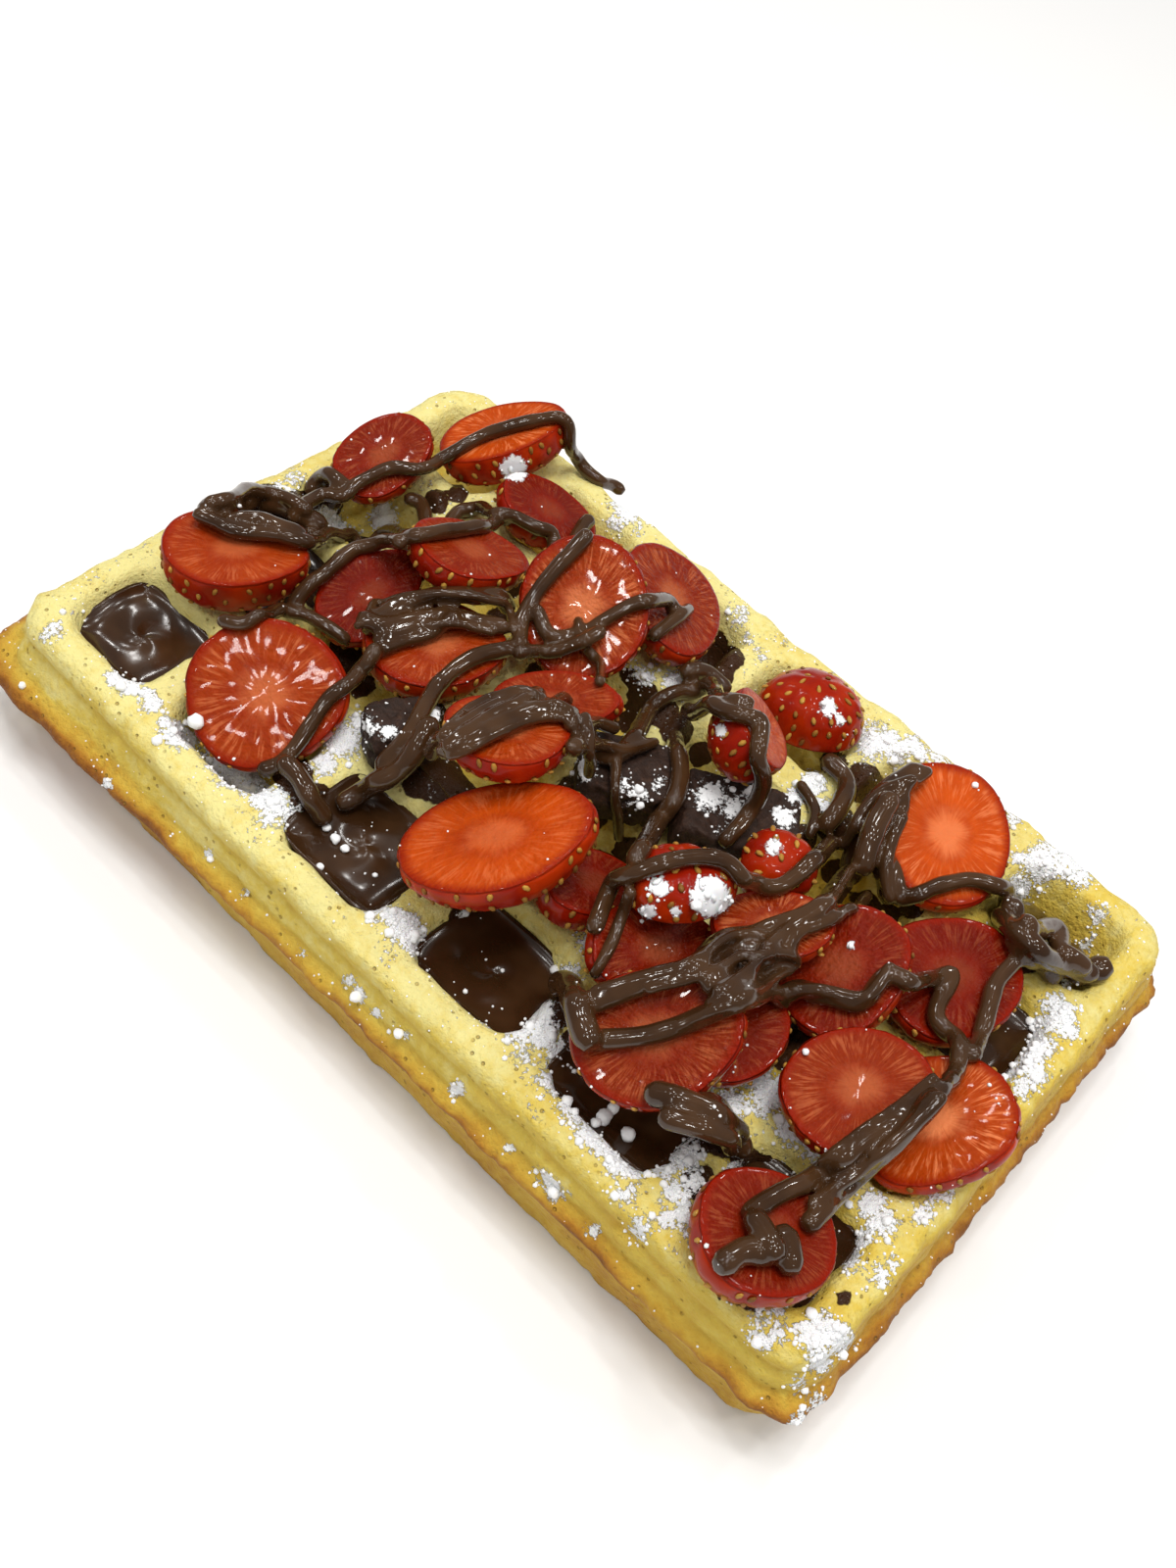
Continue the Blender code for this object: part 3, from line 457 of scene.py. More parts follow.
def wall_lines(count, pitch):
    """Lines across one direction, close together on the slopes of the walls."""
    near = [0.0, 1.0, 1.8, 2.4, 2.8, 3.2, 3.6, 4.0, 4.4, 4.8, 5.2, 5.6, 6.0, 6.5, 7.4, 8.9]
    lines = [-count * pitch / 2 - EDGE]
    for wall in range(count + 1):
        middle = -count * pitch / 2 + wall * pitch
        out = 0.95 if wall in (0, count) else 0.0
        steps = [d + out if d > 1.8 else d for d in near] + [pitch / 2 / MM * 0.86]
        if wall > 0:
            lines += [middle - d * MM for d in reversed(steps[1:])]
        lines.append(middle)
        if wall < count:
            lines += [middle + d * MM for d in steps[1:]] + [middle + pitch / 2]
    lines.append(count * pitch / 2 + EDGE)
    return np.array(lines)


def pocket_depth(x, y, walls, rims, profile, corner, ragged=0.0):
    """Depth of the pattern under the wall tops, from the distance to the nearest pocket's mouth."""
    i = np.clip(np.floor((x + HALF_X) / PITCH_X), 0, POCKETS_X - 1)
    j = np.clip(np.floor((y + HALF_Y) / PITCH_Y), 0, POCKETS_Y - 1)
    low_x = i * PITCH_X - HALF_X + np.where(i == 0, rims, walls)
    high_x = (i + 1) * PITCH_X - HALF_X - np.where(i == POCKETS_X - 1, rims, walls)
    low_y = j * PITCH_Y - HALF_Y + np.where(j == 0, rims, walls)
    high_y = (j + 1) * PITCH_Y - HALF_Y - np.where(j == POCKETS_Y - 1, rims, walls)
    off_x = np.abs(x - (low_x + high_x) / 2) - (high_x - low_x) / 2 + corner
    off_y = np.abs(y - (low_y + high_y) / 2) - (high_y - low_y) / 2 + corner
    outside = np.hypot(np.maximum(off_x, 0), np.maximum(off_y, 0))
    inward = corner - outside - np.minimum(np.maximum(off_x, off_y), 0) + ragged
    across, deep = zip(*profile)
    return np.interp(inward / MM, across, deep) * MM


def round_corners(x, y, half_x, half_y, reach):
    """Draw the outline's square corners in to round ones."""
    dx = np.abs(x) - (half_x - reach)
    dy = np.abs(y) - (half_y - reach)
    inside = (dx > 0) & (dy > 0)
    a = np.clip(dx / reach, 0, 1.2)
    b = np.clip(dy / reach, 0, 1.2)
    new_x = half_x - reach + reach * a * np.sqrt(np.maximum(0.0, 1 - b * b / 2))
    new_y = half_y - reach + reach * b * np.sqrt(np.maximum(0.0, 1 - a * a / 2))
    return np.where(inside, np.copysign(new_x, x), x), np.where(inside, np.copysign(new_y, y), y)


UPPER_PROFILE = (
    (-3.0, 0.0), (-2.4, 0.05), (-1.9, 0.24), (-1.4, 0.68), (-1.0, 1.25), (-0.6, 2.1), (-0.2, 3.3),
    (0.3, 4.9), (0.8, 6.7), (1.3, 8.4), (1.7, 9.5), (2.1, 10.0), (2.7, 10.2),
)
UNDER_PROFILE = (
    (-2.0, 0.0), (-1.4, 0.1), (-1.0, 0.6), (-0.5, 2.3), (0.2, 5.0), (0.8, 7.4), (1.2, 8.9), (1.7, 9.3),
    (2.3, 9.4),
)
# The side from the top's edge to the underside's: how far out along X and along Y, and the height
SIDE = (
    (1.15, 1.05, 25.0), (1.6, 1.4, 24.2), (1.9, 1.6, 23.3), (1.95, 1.55, 22.5), (1.75, 1.3, 21.8),
    (1.7, 1.2, 21.2), (1.95, 1.4, 20.6), (2.3, 1.75, 19.8), (2.5, 1.95, 18.8), (2.6, 2.0, 17.9),
    (2.6, 1.9, 17.1), (2.8, 1.9, 16.4), (3.4, 2.4, 15.8), (4.1, 3.1, 15.2), (4.6, 3.6, 14.6),
    (4.8, 3.8, 14.0), (4.7, 3.7, 13.4), (4.2, 3.1, 12.9), (3.5, 2.2, 12.6), (3.3, 1.7, 12.2),
    (3.5, 1.75, 11.6), (3.7, 1.9, 10.9), (3.7, 1.9, 10.0), (3.5, 1.8, 8.8), (3.2, 1.6, 7.6),
    (2.9, 1.45, 6.2), (2.5, 1.3, 4.6), (2.1, 1.15, 3.2), (1.5, 0.9, 2.0), (0.9, 0.6, 1.3),
)


def plan_noise(xs, ys, scale, level):
    """Noise over a plan."""
    return np.array([noise.noise((x * scale, y * scale, level)) for x, y in zip(xs, ys)])


def make_waffle(settings):
    """The baked waffle with rounded walls, a squeezed-out seam, pores and an uneven crust."""
    xs, ys = wall_lines(POCKETS_X, PITCH_X), wall_lines(POCKETS_Y, PITCH_Y)
    nx, ny = len(xs), len(ys)
    gx, gy = [g.ravel() for g in np.meshgrid(xs, ys, indexing="ij")]
    number = np.arange(nx * ny).reshape(nx, ny)
    rim = np.concatenate([number[:-1, 0], number[-1, :-1], number[:0:-1, -1], number[0, :0:-1]])
    beyond = np.maximum(np.abs(gx) - HALF_X, np.abs(gy) - HALF_Y) / MM
    fall = np.interp(beyond, (-2.4, -1.2, -0.4, 0.6), (0.0, 0.06, 0.22, 0.6)) * MM
    wavy = plan_noise(gx, gy, 150, 7.7) + 0.6 * plan_noise(gx, gy, 420, 1.3)
    depth = pocket_depth(gx, gy, 4.2 * MM, 5.15 * MM, UPPER_PROFILE, 3.4 * MM, wavy * 0.7 * MM)
    top = THICKNESS - np.maximum(depth, fall)
    under = pocket_depth(gx, gy, 4.9 * MM, 5.65 * MM, UNDER_PROFILE, 2.6 * MM)
    under = np.maximum(under, np.interp(beyond, (-1.2, -0.3, 0.6), (0.0, 0.12, 0.8)) * MM)
    rings = []
    for out_x, out_y, height in SIDE:
        half_x, half_y = HALF_X + out_x * MM, HALF_Y + out_y * MM
        rx = gx[rim] * half_x / (HALF_X + EDGE)
        ry = gy[rim] * half_y / (HALF_Y + EDGE)
        rings.append((*round_corners(rx, ry, half_x, half_y, 7 * MM), np.full(len(rim), height * MM)))
    tx, ty = round_corners(gx, gy, HALF_X + EDGE, HALF_Y + EDGE, 7 * MM)
    x = np.concatenate([tx] + [r[0] for r in rings] + [tx])
    y = np.concatenate([ty] + [r[1] for r in rings] + [ty])
    z = np.concatenate([top] + [r[2] for r in rings] + [under])
    rough = [noise.fractal((a * 210, b * 210, c * 210), 1.0, 2.2, 3) for a, b, c in zip(x, y, z)]
    ragged = plan_noise(x, y, 260, 4.2) + 0.5 * plan_noise(x, y, 700, 9.1)
    lip = np.exp(-((z / MM - 14.0) / 1.3) ** 2)
    outer = (np.abs(x) > HALF_X + EDGE / 2) | (np.abs(y) > HALF_Y + EDGE / 2)
    push = np.where(outer, 0.6 * MM * ragged * lip + settings.side_relief * np.array(rough), 0.0)
    side_x = np.where(np.abs(x) > HALF_X, np.sign(x), 0.0)
    side_y = np.where(np.abs(y) > HALF_Y, np.sign(y), 0.0)
    x, y, z = settle(x + push * side_x, y + push * side_y, z)
    flat_under = z < 1.0 * MM
    relief = settings.top_relief * np.array(rough) * np.clip((z - 1 * MM) / (6 * MM), 0, 1)
    z = np.where(flat_under, z, z + relief)
    first_under = nx * ny + len(rings) * len(rim)
    faces = []
    for i in range(nx - 1):
        for j in range(ny - 1):
            square = (number[i, j], number[i + 1, j], number[i + 1, j + 1], number[i, j + 1])
            a, b, c, d = (int(corner) for corner in square)
            faces.append((a, b, c, d))
            faces.append((d + first_under, c + first_under, b + first_under, a + first_under))
    round_side = [np.arange(len(rim)) + nx * ny + k * len(rim) for k in range(len(rings))]
    loops = [rim] + round_side + [rim + first_under]
    for upper, lower in zip(loops, loops[1:]):
        for k in range(len(rim)):
            n = (k + 1) % len(rim)
            faces.append((int(upper[k]), int(lower[k]), int(lower[n]), int(upper[n])))
    places = np.stack([x, y, z], axis=1)
    hidden = (places[:, 2] < 24.3 * MM) & ((x < -HALF_X + CENTRING.x) | (y > HALF_Y + CENTRING.y))
    sugar = np.where((places[:, 2] > 9 * MM) & ~hidden, sugar_on(places), 0.0)
    rim_sugar = np.array([0.5 + noise.noise((p[0] * 120, p[1] * 120, 3.3)) for p in places])
    crest = np.clip((places[:, 2] - 24.6 * MM) / (1.2 * MM), 0, 1)
    sugar = np.maximum(sugar, crest * np.clip(rim_sugar * 0.75, 0, 0.40))
    # cocoa marks: chocolate on the crust, and painted shade in the dark gaps between the pieces
    cocoa = np.where((places[:, 2] > 14 * MM) & ~hidden, marked(places, COCOA_AND_GAP_SHADE), 0.0)
    places[:, 2] += 0.8 * MM * np.clip(sugar - 0.5, 0, 0.6) * (0.6 + np.array(rough))
    places[:, 2] += 1.3 * MM * np.clip(cocoa - 0.40, 0, 0.6) * 2 * (1 + 0.5 * np.array(rough))
    waffle = mesh_object("waffle_crust", places, faces, crust_material(settings))
    set_values(waffle.data, "sugar", sugar)
    # the baked values hold the crust's browning together with its painted shade in the pockets and grooves
    set_values(waffle.data, "baked", browning_and_painted_shade(places))
    set_values(waffle.data, "cocoa", cocoa)
    return waffle


def browning_and_painted_shade(places):
    """How brown each point of the crust is, 0 pale and 1 brown: more on the sides, low down, along the seam,
    at the overfilled corner and towards the +X end, with painted shade on the pocket floors and along the
    grooves of the side.
    """
    x, y, z = places[:, 0] - CENTRING.x, places[:, 1] - CENTRING.y, places[:, 2]
    beyond = np.maximum(np.abs(x) - HALF_X, np.abs(y) - HALF_Y)
    seam = np.exp(-((z / MM - 13.2) / 2.2) ** 2) * (beyond > 1.2 * MM)
    side = (np.abs(x) > HALF_X + EDGE) | (np.abs(y) > HALF_Y + EDGE)
    low = np.where(side, np.clip((17.0 - z / MM) / 6.0, 0, 1), 0.0)
    corner = np.exp(-(np.hypot(x + HALF_X + 2 * MM, y + HALF_Y) / (48 * MM)) ** 2)
    end = np.clip((x - 78 * MM) / (6 * MM), 0, 1)
    # painted shade: the top surface is drawn browner the deeper it lies in a pocket
    floor = np.where(~side, np.clip((24.0 - z / MM) / 9.0, 0, 1), 0.0)
    patch = np.array([noise.noise((p[0] * 55, p[1] * 55, p[2] * 55)) for p in places])
    flank = np.where(side, np.clip((25.6 - z / MM) / 2.0, 0, 1), 0.0)
    # painted shade: darker lines along the two grooves of the side
    groove_shade_lines = np.exp(-((z / MM - 21.4) / 0.8) ** 2) + np.exp(-((z / MM - 16.6) / 0.6) ** 2)
    groove_shade = np.where(side, groove_shade_lines, 0.0)
    value = 0.03 + 0.14 * flank + 0.18 * low + 0.54 * seam + 0.30 * corner * (low + seam) + 0.12 * end * flank
    value = value + 0.12 * groove_shade + 0.22 * seam * patch
    value = value + 0.22 * floor + 0.16 * patch * (0.4 + low)
    value = value + 0.16 * np.clip((x - 10 * MM) / (60 * MM), 0, 1)
    return np.clip(value + np.where(z < 8 * MM, 0.12, 0.0), 0, 1)


def crust_material(settings):
    paint = Paint("baked_crust")
    wide = paint.noise(90.0, 3.0, 0.55)
    fine = paint.noise(620.0, 3.0, 0.6)
    # the baked value holds browning and painted shade alike
    value = paint.attribute("baked") + (wide - 0.5) * 0.46 + (fine - 0.5) * 0.42
    colour = paint.ramp(
        value, (0.0, settings.pale), (0.24, settings.yellow), (0.52, settings.golden), (0.8, settings.brown),
        (1.0, settings.dark),
    )
    pores = 1 - paint.cells(560.0).between(0.08, 0.20)
    where = paint.noise(240.0, 1.0, 0.5).between(0.44, 0.56)
    specks = pores * where
    colour = paint.mix(specks * 0.6, colour, (0.34, 0.19, 0.03))
    # cocoa marks: real chocolate on the crust, and painted shade where they fill the dark gaps between the
    # pieces
    runny_and_gap_shade = (paint.attribute("cocoa") + (paint.noise(260.0, 3.0, 0.6) - 0.5) * 0.5).between(0.40, 0.46)
    colour = paint.mix(runny_and_gap_shade, colour, settings.chocolate)
    colour, rough, cover = sugared(paint, colour, 0.56 - runny_and_gap_shade * 0.34)
    fine = fine * (1 - runny_and_gap_shade * 0.8)
    height = fine * 1.3 + paint.noise(1900.0, 2.0, 0.6) * 0.7 - specks * 1.2
    height = height + cover * (0.6 + paint.noise(2300.0, 2.0, 0.6) * 1.6)
    normal = paint.bump(height, 0.42 * MM, 0.9)
    return paint.finish(
        Base_Color=colour, Roughness=rough, Normal=normal, Subsurface_Weight=0.06,
        Subsurface_Radius=(0.003, 0.002, 0.0008), Subsurface_Scale=1.0, Specular_IOR_Level=0.15,
    )


# Strawberries

# Node number, length, width and thickness in mm, how much narrower one end is, and the look of the
# flesh: how red, how pale in the middle, how wet
BERRIES = (
    (1, 20, 18, 8, 0.08, 0.95, 0.15, 0.50), (2, 24, 20, 6, 0.10, 1.00, 0.10, 0.80),
    (3, 22, 19, 7, 0.12, 0.95, 0.15, 0.90), (4, 23, 20, 6, 0.08, 0.35, 0.95, 0.30),
    (5, 21, 18, 6, 0.10, 0.75, 0.30, 0.60), (8, 18, 14, 7, 0.10, 1.00, 0.10, 0.80),
    (10, 21, 14, 6, 0.10, 0.95, 0.20, 0.90), (6, 20, 15, 5, 0.10, 0.95, 0.15, 1.00),
    (7, 23, 19, 6, 0.06, 0.80, 0.30, 1.00), (9, 18, 12, 5, 0.08, 0.70, 0.50, 0.90),
    (11, 16, 13, 7, 0.15, 0.80, 0.20, 0.8), (12, 12, 11, 6, 0.10, 0.80, 0.20, 0.8),
    (13, 26, 22, 6, 0.08, 0.05, 0.60, 0.30), (14, 18, 17, 9, 0.10, 0.70, 0.20, 0.7),
    (16, 21, 11, 6, 0.10, 0.70, 0.30, 0.50), (17, 25, 20, 7, 0.06, 0.80, 0.35, 1.00),
    (18, 25, 21, 7, 0.06, 0.60, 0.60, 0.90), (19, 20, 15, 6, 0.08, 1.00, 0.10, 0.80),
    (20, 28, 20, 8, 0.05, 0.15, 0.30, 0.40), (21, 19, 17, 6, 0.12, 0.50, 0.35, 0.60),
    (22, 25, 23, 7, 0.05, 0.55, 0.40, 0.45), (23, 20, 14, 7, 0.08, 1.00, 0.10, 0.80),
    (24, 23, 18, 8, 0.08, 0.60, 0.40, 0.90), (25, 21, 16, 7, 0.10, 0.80, 0.20, 0.60),
    (26, 23, 16, 11, 0.14, 0.50, 0.30, 0.30), (27, 20, 14, 7, 0.12, 0.90, 0.20, 0.90),
    (28, 24, 16, 9, 0.10, 0.18, 0.85, 0.10), (15, 18, 13, 9, 0.10, 0.35, 0.45, 0.30),
)
SHAPE_SEED = 200
UNEVEN_SEED = 900
SEED_SPACING = 2.7
# Radius and height of the cut face, the edge and the skin behind it
CUT_PROFILE = (
    (0.0, -0.02), (0.10, -0.019), (0.20, -0.017), (0.31, -0.014), (0.42, -0.012), (0.53, -0.010),
    (0.63, -0.008), (0.72, -0.006), (0.80, -0.003), (0.87, -0.001), (0.925, 0.0), (0.962, -0.018),
    (0.985, -0.06),
)
SKIN_PROFILE = (
    (0.996, -0.12), (1.0, -0.20), (0.999, -0.29), (0.990, -0.38), (0.970, -0.47), (0.938, -0.56),
    (0.893, -0.645), (0.832, -0.72), (0.755, -0.79), (0.66, -0.85), (0.55, -0.90), (0.43, -0.94),
    (0.30, -0.968), (0.16, -0.988), (0.0, -1.0),
)
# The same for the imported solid's rings of corners
ROUGH_PROFILE = ((0.0, -0.02), (0.56, -0.01), (0.975, 0.0), (0.985, -0.42), (0.64, -0.88), (0.0, -1.0))


def berry_waves(order):
    rng = random.Random(SHAPE_SEED + order)
    return [(rng.uniform(0, 6.28), rng.uniform(0.010, 0.022)) for _ in range(3)]


def berry_point(size, waves, angle, radius, height):
    """A point of a strawberry piece: its angle, how far out it is and how deep under the cut face."""
    length, width, thick, taper = size
    wave = 1 + sum(a * math.sin((k + 2) * angle + p) for k, (p, a) in enumerate(waves))
    c, s = math.cos(angle), math.sin(angle)
    narrow = 1 - taper * c * (1.6 if c > 0 else 1.0)
    return Vector((
        length / 2 * MM * radius * wave * math.copysign(abs(c) ** 0.92, c),
        width / 2 * MM * radius * wave * narrow * math.copysign(abs(s) ** 0.92, s),
        thick * MM * height,
    ))


def packed_points(size, waves):
    """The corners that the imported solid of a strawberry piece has."""
    bm = bmesh.new()
    bmesh.ops.create_uvsphere(bm, u_segments=14, v_segments=5, radius=1.0)
    points = []
    for vert in bm.verts:
        ring = round(math.acos(max(-1.0, min(1.0, vert.co.z))) / math.pi * 5)
        points.append(berry_point(size, waves, math.atan2(vert.co.y, vert.co.x), *ROUGH_PROFILE[ring]))
    bm.free()
    return np.array(points)


def face_direction(name):
    """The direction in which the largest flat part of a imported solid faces."""
    mesh = frame["nodes"][name].data
    mesh.calc_loop_triangles()
    normals = np.array([t.normal for t in mesh.loop_triangles])
    areas = np.array([t.area for t in mesh.loop_triangles])
    close = normals @ normals.T > math.cos(math.radians(5))
    best = int(np.argmax(close @ areas))
    total = (normals[close[best]] * areas[close[best]][:, None]).sum(axis=0)
    return total / np.linalg.norm(total)


def lie_of(name, points):
    """The turn and shift that carry a piece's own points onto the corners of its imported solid."""
    corners = np.array(node_corners(name))
    up = face_direction(name)
    side = np.cross(up, (0.3, 0.8, 0.5))
    side /= np.linalg.norm(side)
    other = np.cross(up, side)
    best = None
    for step in range(180):
        angle = math.radians(2 * step)
        x_axis = side * math.cos(angle) + other * math.sin(angle)
        turn = np.stack([x_axis, np.cross(up, x_axis), up], axis=1)
        placed = points @ turn.T
        placed += corners.mean(axis=0) - placed.mean(axis=0)
        gaps = np.linalg.norm(placed[:, None] - corners[None], axis=2)
        cost = gaps.min(axis=1).sum()
        if best is None or cost < best[0]:
            best = (cost, turn, placed)
    _, turn, placed = best
    for _ in range(8):
        pairs = corners[np.linalg.norm(placed[:, None] - corners[None], axis=2).argmin(axis=1)]
        middle, centre = points.mean(axis=0), pairs.mean(axis=0)
        u, _, vt = np.linalg.svd((points - middle).T @ (pairs - centre))
        flip = np.diag([1.0, 1.0, np.sign(np.linalg.det(vt.T @ u.T))])
        turn = vt.T @ flip @ u.T
        placed = (points - middle) @ turn.T + centre
    miss = np.linalg.norm(placed - pairs, axis=1).max()
    if miss > 0.4 * MM:
        raise RuntimeError("%s doesn't lie where its packed solid is: %.2f mm off" % (name, miss / MM))
    matrix = Matrix([list(row) + [0.0] for row in turn] + [[0.0, 0.0, 0.0, 1.0]])
    return Matrix.Translation(Vector(centre) - matrix.to_3x3() @ Vector(middle)) @ matrix


def seed_places(size, rng, spacing):
    """Spots for the seeds on the skin: angle, radius and height."""
    spots = []
    thick = size[2]
    travelled = 0.0
    for (r0, h0), (r1, h1) in zip(SKIN_PROFILE, SKIN_PROFILE[1:]):
        mean = (size[0] + size[1]) / 4
        step = math.hypot((r1 - r0) * mean, (h1 - h0) * thick)
        travelled += step
        if travelled < spacing * 0.82:
            continue
        travelled = 0.0
        around = 2 * math.pi * mean * r1
        count = int(around / (spacing * 1.08))
        start = rng.uniform(0, 6.28)
        for k in range(count):
            angle = start + (k + rng.uniform(-0.22, 0.22)) * 2 * math.pi / count
            spots.append((angle, r1, h1 + rng.uniform(-0.02, 0.02)))
    # a last row right under the edge, where the cut passed through some seeds
    count = int(2 * math.pi * (size[0] + size[1]) / 4 / (spacing * 1.25))
    for k in range(count):
        if rng.random() < 0.8:
            angle = (k + rng.uniform(-0.3, 0.3)) * 2 * math.pi / count
            spots.append((angle, 0.996, -0.13 - rng.uniform(0, 0.05)))
    return spots


def seed_grain(centre, out, along, rng):
    """One seed as a small drop that lies on the skin: its places and faces."""
    across = out.cross(along).normalized()
    long, wide, high = rng.uniform(0.74, 0.94) * MM, rng.uniform(0.42, 0.52) * MM, 0.32 * MM
    places, faces = [centre + out * high], []
    for spread, rise in ((0.62, 0.72), (1.0, 0.0)):
        for k in range(7):
            angle = 2 * math.pi * k / 7
            pull = 1.0 - 0.28 * max(0.0, math.cos(angle))
            ahead = along * (long * spread * math.cos(angle))
            aside = across * (wide * spread * pull * math.sin(angle))
            places.append(centre + ahead + aside + out * (high * rise))
    places.append(centre - out * high * 0.8)
    for k in range(7):
        n = (k + 1) % 7
        faces += [(0, 1 + k, 1 + n), (1 + k, 8 + k, 8 + n, 1 + n), (8 + k, 15, 8 + n)]
    return places, faces


def make_berry(order, entry, material):
    """A cut strawberry piece with its seeds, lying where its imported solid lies."""
    number, length, width, thick, taper, red, pale, wet = entry
    name = "strawberry_%02d" % number
    size = (length, width, thick, taper)
    waves = berry_waves(order)
    rng = random.Random(UNEVEN_SEED + number)
    lie = lie_of(name, packed_points(size, waves))
    around = 96
    rings = CUT_PROFILE[1:] + SKIN_PROFILE[:-1]
    cut_rings = len(CUT_PROFILE) - 1
    places, kinds = [berry_point(size, waves, 0.0, *CUT_PROFILE[0])], [(0.0, 0.0, 0.0)]
    for ring, (radius, height) in enumerate(rings):
        for k in range(around):
            angle = 2 * math.pi * k / around
            places.append(berry_point(size, waves, angle, radius, height))
            side = 0.0 if ring < cut_rings - 2 else 0.5 if ring < cut_rings - 1 else 1.0
            kinds.append((radius * math.cos(angle), radius * math.sin(angle), side))
    places.append(berry_point(size, waves, 0.0, *SKIN_PROFILE[-1]))
    kinds.append((0.0, 0.0, 1.0))
    faces = []
    for k in range(around):
        n = (k + 1) % around
        faces.append((0, 1 + k, 1 + n))
        for ring in range(len(rings) - 1):
            a = 1 + ring * around
            faces.append((a + k, a + around + k, a + around + n, a + n))
        a = 1 + (len(rings) - 1) * around
        faces.append((a + k, len(places) - 1, a + n))
    # the knife leaves the cut face a little uneven
    for i, (_, _, side) in enumerate(kinds):
        p = places[i]
        if side < 1:
            p.z += 0.16 * MM * noise.fractal((p.x * 230, p.y * 230, number * 3.1), 1.0, 2.0, 3) * (1 - side)
        else:
            p += p.normalized() * 0.10 * MM * noise.noise((p.x * 400, p.y * 400, p.z * 400))
    seeds = []
    for angle, radius, height in seed_places(size, rng, SEED_SPACING):
        spot = berry_point(size, waves, angle, radius, height)
        near = berry_point(size, waves, angle + 0.02, radius, height) - spot
        low = berry_point(size, waves, angle, radius, height - 0.02) - spot
        if radius < 0.95:
            low = berry_point(size, waves, angle, radius - 0.04, height - 0.02) - spot
        out = near.cross(low).normalized()
        if out.dot(spot - Vector((0, 0, -0.45 * thick * MM))) < 0:
            out = -out
        along = Vector((0, 0, -1)) - out * out.z * -1
        if along.length < 0.3:
            along = Vector((1, 0, 0)) - out * out.x
        along = along.normalized()
        turn = rng.uniform(-0.5, 0.5)
        along = (along * math.cos(turn) + out.cross(along) * math.sin(turn)).normalized()
        seeds.append((spot, out, along))
    for i, (_, _, side) in enumerate(kinds):
        if side < 0.9:
            continue
        p = places[i]
        for spot, out, _ in seeds:
            off = (p - spot).length_squared
            if off < (1.9 * MM) ** 2:
                p -= out * 0.40 * MM * math.exp(-off / (0.95 * MM) ** 2)
    for spot, out, along in seeds:
        first = len(places)
        grain, sides = seed_grain(spot - out * 0.20 * MM, out, along, rng)
        places += grain
        shade = rng.uniform(2.0, 3.0)
        kinds += [(0.0, 0.0, shade)] * len(grain)
        faces += [tuple(first + c for c in side) for side in sides]
    places = [lie @ p for p in places]
    berry = mesh_object(name + "_cut", places, faces, material)
    set_values(berry.data, "slice", kinds, "FLOAT_VECTOR")
    set_values(berry.data, "look", [(red, pale, wet)] * len(places), "FLOAT_VECTOR")
    set_values(berry.data, "start", [number * 1.7] * len(places))
    set_values(berry.data, "sugar", marked(places, SUGAR_ON_FRUIT))
    settle_on(berry, name, slot="strawberry")
    return berry


